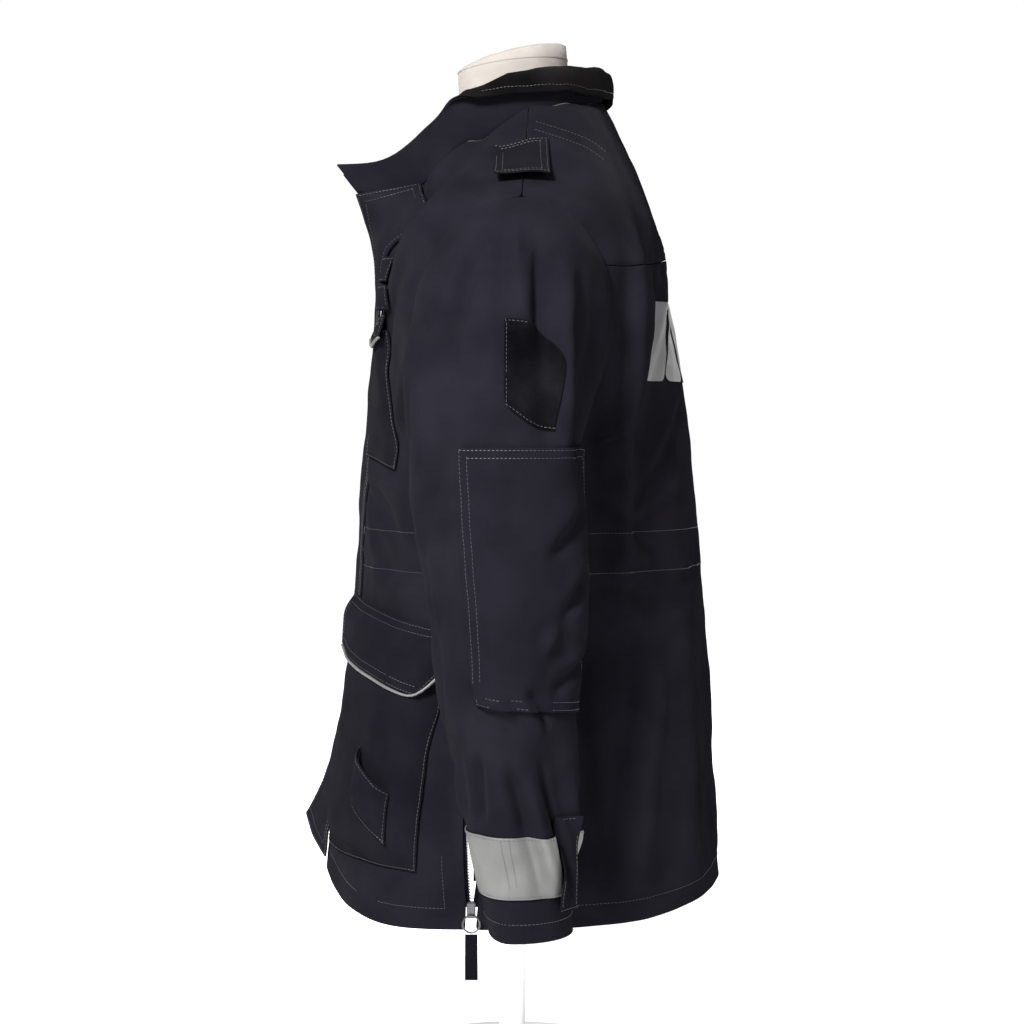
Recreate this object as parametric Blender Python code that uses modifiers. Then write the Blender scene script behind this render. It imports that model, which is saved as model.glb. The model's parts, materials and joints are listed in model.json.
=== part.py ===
"""Police uniform jacket on a limbless dress form, modelled piece by piece.

Metres, +Z up. The wearer faces -Y and the wearer's left is +X. The origin is on the floor,
under the pole of the dress form. Cloth is an open sheet of points with a Solidify modifier.
Every sheet reads its points from one of two surfaces: the body of the jacket or a sleeve.
"""
import math

import bmesh
import bpy
from mathutils import Matrix, Vector

# Driving dimensions of the cloth
WALL = 0.0015            # shell cloth with its lining
FLEECE_WALL = 0.0020     # fleece inside the collar
TRIM_WALL = 0.0010       # tapes, patches and flaps
GAP = 0.0003             # between two pieces that meet at a seam
SEAM_TRIM = 0.00022      # cut off each side of a seam, so that the inner faces stay apart too
SHOULDER_TRIM = 0.00030  # more of that over the shoulder, where the seam is bent

# Body of the jacket, one row for each level from the hem to the neck seam.
# front_*: the zip edge of the left front, back_*: the centre back, side_*: the side seam and,
# from the armhole up, the shoulder. hollow: how far the front row bends in instead of out.
# sweep: degrees of a quarter turn that the row runs through before it meets the side.
BODY_COLUMNS = ("front_x", "front_y", "front_z", "side_x", "side_y", "side_z",
                "back_y", "back_z", "hollow", "sweep")
BODY_LEVELS = (
    (0.004, -0.176, 0.207, 0.191, -0.036, 0.178, 0.197, 0.194, 0.00, 90),   # hem
    (0.004, -0.170, 0.245, 0.190, -0.034, 0.222, 0.196, 0.236, 0.00, 90),
    (0.004, -0.158, 0.316, 0.188, -0.029, 0.300, 0.190, 0.307, 0.00, 90),
    (0.004, -0.147, 0.400, 0.186, -0.022, 0.388, 0.185, 0.392, 0.00, 90),
    (0.004, -0.141, 0.480, 0.186, -0.014, 0.468, 0.179, 0.475, 0.00, 90),   # waist
    (0.004, -0.138, 0.550, 0.190, -0.007, 0.540, 0.173, 0.552, 0.00, 90),
    (0.004, -0.131, 0.620, 0.198, 0.000, 0.600, 0.165, 0.628, 0.00, 88),    # underarm
    (0.004, -0.124, 0.690, 0.213, 0.000, 0.660, 0.154, 0.690, 0.00, 72),
    (0.005, -0.120, 0.735, 0.232, 0.000, 0.715, 0.145, 0.738, 0.08, 60),
    (0.017, -0.124, 0.772, 0.246, 0.004, 0.770, 0.137, 0.786, 0.45, 66),
    (0.030, -0.130, 0.800, 0.250, 0.008, 0.806, 0.123, 0.832, 0.85, 80),    # shoulder point
    (0.036, -0.134, 0.815, 0.168, 0.012, 0.857, 0.107, 0.872, 0.90, 88),
    (0.040, -0.138, 0.828, 0.080, 0.015, 0.905, 0.086, 0.915, 0.70, 88),    # neck seam
)
BACK_START = 90.0001     # the angle at which the back begins
HEM_LEVEL = 0
UNDERARM_LEVEL = 6
SHOULDER_LEVEL = 10
NECK_LEVEL = 12
YOKE_LEVEL = 8.6
ROW_POWER = 0.85         # under 1 squares the round of a row
HOLLOW_START = 0.12      # shares of a front row between which its hollow fades out
HOLLOW_END = 0.85
NECK_RISE_POWER = 2.8    # how late the neck seam rises from the front to the shoulder

# Armhole: an oval from the underarm, 0 degrees, over the front, 90, to the shoulder, 180.
ARMHOLE_BOTTOM = (0.198, 0.600)
ARMHOLE_TOP = (0.250, 0.806)
ARMHOLE_FRONT = 0.088    # half depth towards the front
ARMHOLE_BACK = 0.082     # half depth towards the back
ARMHOLE_SHIFT = 0.004    # how far back the shoulder point lies

# Sleeve, one row for each section from the armhole to the cuff. Each section is an oval that
# runs through an outer and an inner point and is as deep as front_y and back_y say.
SLEEVE_COLUMNS = ("outer_x", "outer_z", "inner_x", "inner_z", "front_y", "back_y")
SLEEVE_SECTIONS = (
    (0.250, 0.806, 0.198, 0.600, -0.088, 0.082),    # armhole
    (0.271, 0.790, 0.202, 0.596, -0.088, 0.080),
    (0.289, 0.757, 0.206, 0.591, -0.088, 0.076),
    (0.301, 0.708, 0.208, 0.585, -0.088, 0.070),
    (0.307, 0.650, 0.209, 0.577, -0.089, 0.062),
    (0.309, 0.588, 0.209, 0.558, -0.087, 0.057),    # top of the elbow patch
    (0.308, 0.520, 0.208, 0.512, -0.080, 0.061),
    (0.306, 0.450, 0.207, 0.448, -0.069, 0.061),
    (0.304, 0.390, 0.206, 0.390, -0.062, 0.052),    # bottom of the elbow patch
    (0.302, 0.340, 0.205, 0.340, -0.052, 0.057),
    (0.300, 0.296, 0.205, 0.296, -0.042, 0.056),
    (0.299, 0.245, 0.204, 0.245, -0.030, 0.051),
    (0.298, 0.192, 0.203, 0.194, -0.020, 0.052),    # cuff
)
CUFF_SECTION = 12
SLEEVE_SIDES = 24        # columns round a sleeve, and patches use the same angles

# Largest folds. A ridge has a positive height and a trough a negative one.
# Body: from one angle and level to another, half width in degrees, height in metres.
FOLD_COLUMNS = ("from_turn", "from_row", "to_turn", "to_row", "half_width", "height")
BODY_FOLDS = (
    (116, 9.8, 120, 3.0, 9, 0.010),      # back drape beside the sleeve
    (134, 9.4, 130, 2.6, 10, -0.009),    # hollow behind that drape
    (150, 10.0, 138, 7.4, 8, 0.005),     # crease from the neck to the drape
    (170, 7.8, 148, 6.8, 7, -0.005),
    (146, 5.0, 140, 0.0, 13, 0.007),     # skirt flares at the back
    (165, 3.6, 168, 0.0, 9, -0.005),
    (104, 3.4, 108, 0.0, 9, -0.006),
    (52, 10.4, 30, 8.2, 9, 0.007),       # chest ridge under the shoulder
    (34, 10.6, 22, 8.8, 8, -0.007),      # hollow beside the storm flap
    (60, 6.2, 52, 3.6, 10, 0.005),
    (36, 5.4, 42, 3.4, 9, -0.004),
    (78, 2.6, 80, 0.0, 8, 0.004),
)
# Sleeve: from one angle and section to another, in the same columns.
SLEEVE_FOLDS = (
    (246, 0.6, 262, 5.2, 17, -0.015),    # deep fold at the back of the upper arm
    (222, 0.4, 232, 5.0, 14, 0.006),
    (92, 1.6, 108, 4.6, 16, 0.005),
    (128, 5.2, 98, 7.8, 13, -0.007),     # trough along the front of the forearm
    (206, 7.7, 238, 7.3, 14, -0.007),    # puckers at the elbow
    (150, 8.6, 176, 8.1, 14, 0.005),
    (214, 8.3, 236, 10.4, 15, -0.010),   # deep fold above the cuff
    (176, 8.8, 196, 10.4, 14, 0.006),
    (118, 8.8, 140, 10.6, 13, -0.005),
    (60, 6.4, 40, 8.4, 16, -0.005),
    (300, 6.6, 320, 8.6, 16, -0.005),
)
FOLD_TAPER = 0.28        # share of a fold's length over which each end fades

# Storm flap over the front zip: its free edge at each level, and the angle of its seam.
FLAP_COLUMNS = ("edge_x", "edge_y", "edge_z", "seam_turn")
FLAP_LEVELS = (
    (-0.018, -0.199, 0.242, 15),
    (-0.024, -0.187, 0.264, 15),
    (-0.026, -0.168, 0.322, 15),
    (-0.027, -0.155, 0.402, 15),
    (-0.027, -0.147, 0.482, 15),
    (-0.027, -0.143, 0.552, 15),
    (-0.027, -0.137, 0.621, 15),
    (-0.024, -0.130, 0.691, 17),
    (-0.014, -0.127, 0.737, 21),
    (0.008, -0.131, 0.775, 28),
    (0.027, -0.137, 0.803, 34),
    (0.037, -0.141, 0.817, 37),
    (0.045, -0.145, 0.829, 38),
)

FLAP_BOW = 0.0035        # how far the middle of the flap stands off the front
FLAP_LIFT = 0.0019       # the flap's inner face over the front at its seam
FLAP_FOOT_RISE = 0.42    # levels by which the foot of its seam lies above the hem

# Collar, one row for each place along the neck seam, from the front edge to the centre back.
# rise: height of the stand, forward and outward: its lean, fall: how far it is turned down.
COLLAR_COLUMNS = ("turn", "rise", "forward", "outward", "fall")
COLLAR_PLACES = (
    (0, 0.033, 0.76, 0.04, 0.000),
    (30, 0.036, 0.60, 0.06, 0.000),
    (46, 0.040, 0.25, 0.08, 0.000),
    (62, 0.045, 0.00, 0.10, 0.005),
    (76, 0.043, -0.04, 0.12, 0.013),
    (92, 0.036, -0.04, 0.12, 0.022),
    (150, 0.031, 0.00, 0.06, 0.027),
    (180, 0.029, 0.00, 0.04, 0.027),
)
COLLAR_TURNS = (0.6, 18, 36, 48, 55, 62, 69, 76, 84, 100, 120, 140, 160, 180)
COLLAR_ROLL = 0.0045     # radius of the turn at the top
COLLAR_BASE_GAP = 0.0010
COLLAR_CORNER = (0.0, -0.006, 0.002)     # how far its front corner reaches past the seam
FLEECE_GAPS = (0.0006, 0.0008, 0.0012, 0.0012, 0.0012, 0.0012, 0.0010)   # one for each row

# What is sewn on a sleeve: angles from and to, heights of its bottom and its top, and how far
# its outer face stands off the sleeve.
ELBOW_PATCH = (150.0, 285.0, 0.388, 0.598, 0.0036)
HOOK_PATCH = (176.0, 214.0, 0.612, 0.702, 0.0020)
CUFF_BAND = (0.0, 360.0, 0.229, 0.280, 0.0020)
CUFF_TAB = (225.0, 248.0, 0.216, 0.294, 0.0059)
ELBOW_SLANT = 0.012      # the elbow patch ends lower at the back
HOOK_FOOT_RISE = 0.020   # the hook patch has a rounded foot and a slanted top
HOOK_TOP_FALL = 0.030
CUFF_TAB_RISE = 0.002    # the tab stands proud at its back edge

# What is sewn on the body, in the same order. A pocket's last value is the depth of its bellows.
CHEST_POCKET = (19.0, 45.0, 0.588, 0.704, 0.006)
CHEST_FLAP = (19.5, 46.0, 0.695, 0.714, 0.0020)
LOWER_POCKET = (16.0, 75.0, 0.231, 0.452, 0.012)
LOWER_FLAP = (16.0, 76.0, 0.414, 0.462, 0.0036)
SMALL_POCKET = (46.0, 64.0, 0.278, 0.331, 0.010)
SMALL_POCKET_FALL = (0.028, 0.036)       # how much lower its foot and its top are at the back
CHEST_LOOPS = (
    ("chest_loop_lower", 39.0, 51.0, 0.717, 0.738, 0.0022),
    ("chest_loop_upper", 39.0, 51.0, 0.741, 0.762, 0.0022),
)
LOOP_BOW = 0.005         # how far the middle of a loop stands off the front
CHEST_FLAP_LOOSE = 0.0078        # the foot of a flap stands off by this much more
LOWER_FLAP_LOOSE = 0.0125
SMALL_POCKET_LIFT = 0.0155       # it lies on the lower pocket
PIPING_RADIUS = 0.0014
PIPING_DROP = 0.0019     # from a flap's edge to the middle of its piping
EPAULETTE_HALF_TURN = 9.0
EPAULETTE_LEVELS = (10.35, 11.30)        # its loose outer end and its sewn inner end
EPAULETTE_RISE = 0.007   # how far the loose end stands off the shoulder

FRONT_ZIP_TOP = 7.9      # level to which the front zip is closed
FRONT_ZIP_TURN = 7.5     # angle to which a tape runs under the front
FRONT_ZIP_REACH = 0.0036         # a tape's edge beyond the edge of the cloth
FRONT_SLIDER_DEPTH = 0.0060      # from the outer face of the front to the slider's middle

# Side vent with its zip, opened above the slider.
VENT_BOTTOM = 0.205
VENT_TOP = 0.365
VENT_HALF_GAP = 0.0058   # between the teeth and the middle of the gap
VENT_EDGE = 0.0045       # from the teeth to the cloth's edge
VENT_TAPE_TURN = 7.5     # angle from the side seam to a tape's inner edge
SIDE_SLIDER_HEIGHT = 0.196
RING_RADIUS = 0.0075
RING_WIRE = 0.0010
PULL_TAPE = (0.0016, 0.011, 0.040)       # thickness, width and length

# Dress form and stand
FORM_COLUMNS = ("height", "half_width", "front_y", "back_y")
FORM_SECTIONS = (
    (0.330, 0.138, -0.094, 0.118),
    (0.400, 0.150, -0.104, 0.134),
    (0.500, 0.138, -0.094, 0.118),
    (0.600, 0.158, -0.098, 0.122),
    (0.680, 0.172, -0.098, 0.120),
    (0.740, 0.176, -0.088, 0.112),
    (0.785, 0.178, -0.064, 0.094),
)
FORM_NECK = (
    (0.872, 0.094, -0.036, 0.062),
    (0.890, 0.060, -0.048, 0.060),
    (0.915, 0.052, -0.050, 0.056),
    (0.960, 0.050, -0.052, 0.052),
)
SHOULDER_REST = (0.815, 0.835, 0.855)    # heights at which the form holds the jacket
SHOULDER_MIDDLE = 0.011  # how far back the ridge of the form's shoulder lies
SHOULDER_CLEARANCE = 0.0018
NECK_CAP_RISE = 0.012    # the cap is higher at the back
NECK_CAP_DOME = 0.004
POLE_RADIUS = 0.0125
BASE_RADIUS = 0.130
BASE_THICKNESS = 0.006
FLANGE_RADIUS = 0.034
FLANGE_THICKNESS = 0.014

CLOTH_NAVY = (0.026, 0.025, 0.033)
COLLECTION_NAME = "police_uniform_jacket"


# Reading the tables

def smooth_step(value):
    """A soft ramp from 0 at 0 to 1 at 1."""
    value = max(0.0, min(1.0, value))
    return value * value * (3.0 - 2.0 * value)


def read_table(rows, columns, position):
    """Every column of a table at a position between two rows, along a smooth curve."""
    last = len(rows) - 1
    position = max(0.0, min(float(last), position))
    start = min(int(position), last - 1)
    part = position - start
    before, first = rows[max(start - 1, 0)], rows[start]
    second, after = rows[start + 1], rows[min(start + 2, last)]
    values = {}
    for name, a, b, c, d in zip(columns, before, first, second, after):
        slope_in, slope_out = (c - a) / 2.0, (d - b) / 2.0
        square, cube = part * part, part * part * part
        values[name] = (b * (2 * cube - 3 * square + 1) + slope_in * (cube - 2 * square + part)
                        + c * (3 * square - 2 * cube) + slope_out * (cube - square))
    return values


def read_by(rows, columns, key):
    """A table read by the value in its first column instead of by the row's number."""
    for number in range(len(rows) - 1):
        low, high = rows[number][0], rows[number + 1][0]
        if key <= high or number == len(rows) - 2:
            return read_table(rows, columns, number + (key - low) / (high - low))
    return None


def fold_height(folds, turn, row, turns_full):
    """Height of all folds at one place of a surface."""
    total = 0.0
    for from_turn, from_row, to_turn, to_row, half_width, height in folds:
        length = to_row - from_row
        along = (row - from_row) / length if abs(length) > 0.01 else 0.5
        if abs(length) < 1.0:
            along = ((turn - from_turn) * (to_turn - from_turn)
                     + (row - from_row) * length * 100.0)
            along /= (to_turn - from_turn) ** 2 + length ** 2 * 100.0
        if along <= 0.0 or along >= 1.0:
            continue
        fade = smooth_step(min(along, 1.0 - along) / FOLD_TAPER)
        across = turn - (from_turn + (to_turn - from_turn) * along)
        if turns_full:
            across = (across + 180.0) % 360.0 - 180.0
        if abs(length) < 1.0:
            across = (row - (from_row + length * along)) * 22.0
        total += height * fade * math.exp(-((across / half_width) ** 2))
    return total


# Body surface

def armhole_point(angle):
    """A point of the armhole seam of the left sleeve."""
    turn = math.radians(angle)
    up = (1.0 - math.cos(turn)) / 2.0
    depth = ARMHOLE_FRONT if math.sin(turn) > 0 else ARMHOLE_BACK
    return Vector((
        ARMHOLE_BOTTOM[0] + (ARMHOLE_TOP[0] - ARMHOLE_BOTTOM[0]) * up,
        ARMHOLE_SHIFT * 2.0 * up - depth * math.sin(turn),
        ARMHOLE_BOTTOM[1] + (ARMHOLE_TOP[1] - ARMHOLE_BOTTOM[1]) * up,
    ))


def vent_opening(height):
    """Half the gap between the zip's two rows of teeth at a height of the side seam."""
    share = (height - VENT_BOTTOM) / (VENT_TOP - VENT_BOTTOM)
    if share <= 0.0 or share >= 1.0:
        return 0.0
    return VENT_HALF_GAP * math.sin(math.pi * share) ** 0.7


def vent_edge(height):
    """Distance from the zip's teeth to the edge of the cloth, none above the vent."""
    return VENT_EDGE * smooth_step((VENT_TOP - height) / 0.03)


def side_point(row, level, is_front):
    """Where a row of the front or the back ends: side seam, armhole or shoulder seam."""
    if UNDERARM_LEVEL < level < SHOULDER_LEVEL:
        share = (level - UNDERARM_LEVEL) / (SHOULDER_LEVEL - UNDERARM_LEVEL)
        angle = 180.0 * share
        return armhole_point(angle if is_front else 360.0 - angle)
    if level >= SHOULDER_LEVEL:
        share = (level - SHOULDER_LEVEL) / (NECK_LEVEL - SHOULDER_LEVEL)
        top = armhole_point(180.0)
        neck = Vector(BODY_LEVELS[NECK_LEVEL][3:6])
        sag = -0.006 * math.sin(math.pi * share)
        return top.lerp(neck, share) + Vector((0.0, 0.0, sag))
    point = Vector((row["side_x"], row["side_y"], row["side_z"]))
    shift = vent_opening(point.z) + vent_edge(point.z)
    point.y += -shift if is_front else shift
    return point


def plain_body_point(turn, level):
    """The body surface without folds. Turn 0 is the centre front and 180 the centre back."""
    mirrored = turn < 0
    turn = abs(turn)
    row = read_table(BODY_LEVELS, BODY_COLUMNS, level)
    is_front = turn <= 90.0
    share = turn / 90.0 if is_front else (180.0 - turn) / 90.0
    end = side_point(row, level, is_front)
    if is_front:
        start = Vector((row["front_x"], row["front_y"], row["front_z"]))
        hollow = max(0.0, row["hollow"])
    else:
        start = Vector((0.0, row["back_y"], row["back_z"]))
        hollow = 0.0
    sweep = math.radians(row["sweep"])
    angle = sweep * share
    out_x = (math.sin(angle) / math.sin(sweep)) ** ROW_POWER
    low = max(0.0, math.cos(sweep)) ** ROW_POWER
    out_y = 1.0 - (max(0.0, math.cos(angle)) ** ROW_POWER - low) / (1.0 - low)
    in_x = (1.0 - math.cos(angle)) / (1.0 - math.cos(sweep))
    in_y = math.sin(angle) / math.sin(sweep)
    hollow *= 1.0 - smooth_step((share - HOLLOW_START) / (HOLLOW_END - HOLLOW_START))
    mix_x = out_x + (in_x - out_x) * hollow
    mix_y = out_y + (in_y - out_y) * hollow
    reach = 0.72 + 0.28 * smooth_step((level - UNDERARM_LEVEL) / 4.0)
    mix_z = smooth_step(share / reach)
    if is_front:
        late = smooth_step((level - SHOULDER_LEVEL + 1.0) / 3.0)
        mix_z += (share ** NECK_RISE_POWER - mix_z) * late
    point = Vector((
        start.x + (end.x - start.x) * mix_x,
        start.y + (end.y - start.y) * mix_y,
        start.z + (end.z - start.z) * mix_z,
    ))
    if mirrored:
        point.x = -point.x
    return point


def surface_normal(surface, turn, row, turn_limits, row_limits):
    """Outward normal of a surface, from two short steps along it that stay on its piece."""
    step_turn, step_row = 0.6, 0.02
    left = max(turn - step_turn, turn_limits[0])
    right = min(turn + step_turn, turn_limits[1])
    low = max(row - step_row, row_limits[0])
    high = min(row + step_row, row_limits[1])
    across = surface(right, row) - surface(left, row)
    along = surface(turn, high) - surface(turn, low)
    return across.cross(along).normalized()


def body_limits(turn, level):
    """Angles between which the body surface has no break around a place."""
    if UNDERARM_LEVEL <= level <= SHOULDER_LEVEL:
        if turn < -90.0:
            return (-180.0, -90.0)
        if turn < 0.0:
            return (-90.0, 0.0)
        if turn <= 90.0:
            return (0.0, 90.0)
        return (BACK_START, 180.0)
    if turn < 0.0:
        return (-180.0, 0.0)
    return (0.0, 180.0)


def body_normal(turn, level):
    """Normal of the plain body surface, worked out on the wearer's left and mirrored."""
    limits = body_limits(abs(turn), level)
    normal = surface_normal(plain_body_point, abs(turn), level, limits, (HEM_LEVEL, NECK_LEVEL))
    if abs(turn) > 179.0:
        normal = Vector((0.0, normal.y, normal.z)).normalized()
    if turn < 0:
        normal.x = -normal.x
    return normal


def body_point(turn, level, lift=0.0):
    """A point of the body's outer face, lifted off it by a distance."""
    height = fold_height(BODY_FOLDS, abs(turn), level, False)
    return plain_body_point(turn, level) + body_normal(turn, level) * (height + lift)


def level_at(turn, height):
    """The level whose row passes a height at one angle of the body."""
    low, high = float(HEM_LEVEL), float(NECK_LEVEL)
    for _ in range(24):
        middle = (low + high) / 2.0
        if plain_body_point(turn, middle).z < height:
            low = middle
        else:
            high = middle
    return (low + high) / 2.0


def on_body(turn, height, lift):
    """A point on the body at an angle and a height, lifted off it."""
    return body_point(turn, level_at(turn, height), lift)


# Sleeve surface

def plain_sleeve_point(angle, section):
    """The left sleeve without folds. Angle 0 faces the body, 90 the front, 180 outwards."""
    row = read_table(SLEEVE_SECTIONS, SLEEVE_COLUMNS, section)
    turn = math.radians(angle)
    outward = (1.0 - math.cos(turn)) / 2.0
    depth = -row["front_y"] if math.sin(turn) > 0 else row["back_y"]
    shift = ARMHOLE_SHIFT * 2.0 * outward * max(0.0, 1.0 - section / 3.0)
    return Vector((
        row["inner_x"] + (row["outer_x"] - row["inner_x"]) * outward,
        shift - depth * math.sin(turn),
        row["inner_z"] + (row["outer_z"] - row["inner_z"]) * outward,
    ))


def sleeve_point(angle, section, lift=0.0):
    """A point of the left sleeve's outer face, lifted off it by a distance."""
    limits = (angle - 1.0, angle + 1.0)
    normal = surface_normal(plain_sleeve_point, angle, section, limits, (0.0, CUFF_SECTION))
    normal = -normal
    height = fold_height(SLEEVE_FOLDS, angle % 360.0, section, True)
    return plain_sleeve_point(angle, section) + normal * (height + lift)


def section_at(angle, height):
    """The section of the sleeve that passes a height at one angle."""
    low, high = 0.0, float(CUFF_SECTION)
    for _ in range(24):
        middle = (low + high) / 2.0
        if plain_sleeve_point(angle, middle).z > height:
            low = middle
        else:
            high = middle
    return (low + high) / 2.0


def on_sleeve(angle, height, lift):
    """A point on the left sleeve at an angle and a height, lifted off it."""
    return sleeve_point(angle, section_at(angle, height), lift)


# Making pieces

def clear_scene():
    """Remove the objects of the file that is open."""
    for item in list(bpy.data.objects):
        bpy.data.objects.remove(item, do_unlink=True)


def part_collection():
    """The collection that holds the part."""
    collection = bpy.data.collections.get(COLLECTION_NAME)
    if collection is None:
        collection = bpy.data.collections.new(COLLECTION_NAME)
        bpy.context.scene.collection.children.link(collection)
    return collection


def finish(name, colour, roughness=0.8, metallic=0.0):
    """A Principled BSDF material with one colour."""
    material = bpy.data.materials.get(name)
    if material is None:
        material = bpy.data.materials.new(name)
        material.use_nodes = True
        shader = material.node_tree.nodes["Principled BSDF"]
        shader.inputs["Base Color"].default_value = (*colour, 1.0)
        shader.inputs["Roughness"].default_value = roughness
        shader.inputs["Metallic"].default_value = metallic
    return material


def add_object(name, mesh, material):
    """Link a mesh to the part's collection as one named piece."""
    item = bpy.data.objects.new(name, mesh)
    item.data.materials.append(material)
    part_collection().objects.link(item)
    mesh.shade_smooth()
    mesh.set_sharp_from_angle(angle=math.radians(40))
    return item


def sheet_mesh(name, grid, is_tube=False):
    """An open sheet of quads through rows of points, or a tube through closed rows."""
    mesh = bpy.data.meshes.new(name)
    build = bmesh.new()
    rows = [[build.verts.new(point) for point in row] for row in grid]
    for low, high in zip(rows, rows[1:]):
        count = len(low)
        for number in range(count if is_tube else count - 1):
            following = (number + 1) % count
            build.faces.new((low[number], low[following], high[following], high[number]))
    build.to_mesh(mesh)
    build.free()
    return mesh


def mirror_grid(grid):
    """The same rows for the wearer's right side, kept facing outwards."""
    return [[Vector((-p.x, p.y, p.z)) for p in reversed(row)] for row in grid]


def cloth(name, grid, material, wall=WALL, is_tube=False, side=-1.0):
    """A wall of cloth: a sheet of points thickened inwards, or outwards where side is 1."""
    item = add_object(name, sheet_mesh(name, grid, is_tube), material)
    thick = item.modifiers.new("wall", "SOLIDIFY")
    thick.thickness = wall
    thick.offset = side
    return item


def cloth_pair(name, grid, material, wall=WALL, is_tube=False):
    """The same piece on the wearer's left and right."""
    cloth(name + "_left", grid, material, wall, is_tube)
    cloth(name + "_right", mirror_grid(grid), material, wall, is_tube)


def loft_solid(name, rings, material):
    """A closed solid through rings of points, with a flat fan at each end."""
    mesh = sheet_mesh(name, rings, is_tube=True)
    build = bmesh.new()
    build.from_mesh(mesh)
    build.verts.ensure_lookup_table()
    count = len(rings[0])
    bottom = [build.verts[number] for number in range(count)]
    top = [build.verts[len(build.verts) - count + number] for number in range(count)]
    build.faces.new(list(reversed(bottom)))
    build.faces.new(top)
    build.to_mesh(mesh)
    build.free()
    return add_object(name, mesh, material)


def steps(start, end, count):
    """Evenly spaced values from start to end, count + 1 of them."""
    return [start + (end - start) * number / count for number in range(count + 1)]


# Body panels

def panel_grid(turns, levels):
    """Rows of points over a range of angles and levels of the body."""
    return [[body_point(turn, level) for turn in turns] for level in levels]


def trim_ends(grid, first, last):
    """Shorten every row at its first or last point, so that a seam keeps its gap."""
    for row in grid:
        over_shoulder = smooth_step((max(row[0].z, row[-1].z) - ARMHOLE_TOP[1] + 0.02) / 0.04)
        distance = SEAM_TRIM + SHOULDER_TRIM * over_shoulder
        if first:
            row[0] = row[0] + (row[1] - row[0]).normalized() * distance
        if last:
            row[-1] = row[-1] + (row[-2] - row[-1]).normalized() * distance
    return grid


def panel_levels():
    """Levels of a panel from hem to neck, closer together over the shoulder."""
    return steps(0.0, 6.0, 11) + steps(6.0, 10.0, 8)[1:] + steps(10.0, 12.0, 4)[1:]


def make_body():
    """Left and right front, back panel and back yoke."""
    navy = finish("shell_cloth", CLOTH_NAVY, 0.75)
    levels = panel_levels()
    front = trim_ends(panel_grid(steps(0.0, 90.0, 12), levels), False, True)
    cloth_pair("front", front, navy)
    left = [BACK_START] + steps(90.0, 180.0, 12)[1:]
    right = [-turn for turn in reversed(left[:-1])]
    around = left + right
    yoke_gap = 0.006
    lower = [level for level in levels if level < YOKE_LEVEL - 0.1] + [YOKE_LEVEL - yoke_gap]
    upper = [YOKE_LEVEL + yoke_gap] + [level for level in levels if level > YOKE_LEVEL + 0.1]
    cloth("back_panel", back_grid(around, lower), navy)
    cloth("back_yoke", back_grid(around, upper), navy)


def back_grid(around, levels):
    """Rows across the back from the left side seam to the right one."""
    return trim_ends(panel_grid(around, levels), True, True)


def make_storm_flap():
    """Flap over the front zip, sewn to the left front, loose at its edge and at the neck."""
    navy = finish("shell_cloth", CLOTH_NAVY, 0.75)
    across = steps(0.0, 1.0, 4)
    grid = []
    for level in steps(0.0, 11.98, 24):
        row = read_table(FLAP_LEVELS, FLAP_COLUMNS, level)
        edge = Vector((row["edge_x"], row["edge_y"], row["edge_z"]))
        seam_level = min(level + FLAP_FOOT_RISE * max(0.0, 1.0 - level), 11.98)
        seam = body_point(row["seam_turn"], seam_level, WALL + FLAP_LIFT)
        line = []
        for share in across:
            point = edge.lerp(seam, share)
            point.y -= FLAP_BOW * math.sin(math.pi * share)
            line.append(point)
        grid.append(line)
    cloth("storm_flap", grid, navy)


def make_front_zip():
    """Zip tapes behind the two front edges, closed up to the chest, and their slider."""
    black = finish("zip_tape", (0.012, 0.012, 0.014), 0.7)
    metal = finish("zip_metal", (0.06, 0.06, 0.065), 0.35, 1.0)
    under = -(WALL + GAP * 5.0)
    grid = []
    for level in panel_levels()[:-1]:
        inner = body_point(0.0, level, under)
        outer = body_point(FRONT_ZIP_TURN, level, under)
        reach = (inner - outer).normalized() * FRONT_ZIP_REACH
        grid.append([inner + reach, outer])
    cloth_pair("front_zip_tape", grid, black, TRIM_WALL)
    place = body_point(0.0, FRONT_ZIP_TOP, 0.0)
    slider = rounded_box("front_zip_slider", (0.009, 0.0032, 0.014), metal, 0.0012)
    slider.location = (0.0, place.y + FRONT_SLIDER_DEPTH, place.z)


def rounded_box(name, size, material, radius):
    """A box with rounded edges, centred on its own origin."""
    bpy.ops.mesh.primitive_cube_add(size=1.0)
    item = bpy.context.active_object
    item.name = name
    item.data.name = name
    item.data.transform(Matrix.Diagonal((*size, 1.0)))
    item.data.materials.append(material)
    move_to_part(item)
    bevel = item.modifiers.new("edges", "BEVEL")
    bevel.width = radius
    bevel.segments = 1
    return item


def move_to_part(item):
    """Take an object out of its collections and put it in the part's own."""
    for collection in list(item.users_collection):
        collection.objects.unlink(item)
    part_collection().objects.link(item)


# Collar

def collar_profile(place, base, out_dir):
    """Points of the collar from the neck seam up, and over its roll to its free edge."""
    up = Vector((0.0, -place["forward"], 1.0)) + out_dir * place["outward"]
    up.normalize()
    out = (out_dir - up * out_dir.dot(up)).normalized()
    turned = smooth_step(place["fall"] / 0.016)
    stand = place["rise"] - COLLAR_ROLL
    length = place["rise"] + (place["fall"] + COLLAR_ROLL) * turned
    on_roll = [0.0, stand * 0.5] + steps(stand, length, 4)
    even = steps(0.0, length, 6)
    share = smooth_step(turned / 0.05)
    wanted = [a + (b - a) * share for a, b in zip(even, on_roll)]
    arc = math.pi * COLLAR_ROLL
    count = 80
    point = base.copy()
    points = [base.copy()]
    for number in range(count):
        at = length * (number + 0.5) / count
        heading = math.pi * turned * max(0.0, min(1.0, (at - stand) / arc))
        point += (up * math.cos(heading) + out * math.sin(heading)) * (length / count)
        passed = length * (number + 1.001) / count
        while len(points) < len(wanted) and wanted[len(points)] <= passed:
            points.append(point.copy())
    return points


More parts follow.
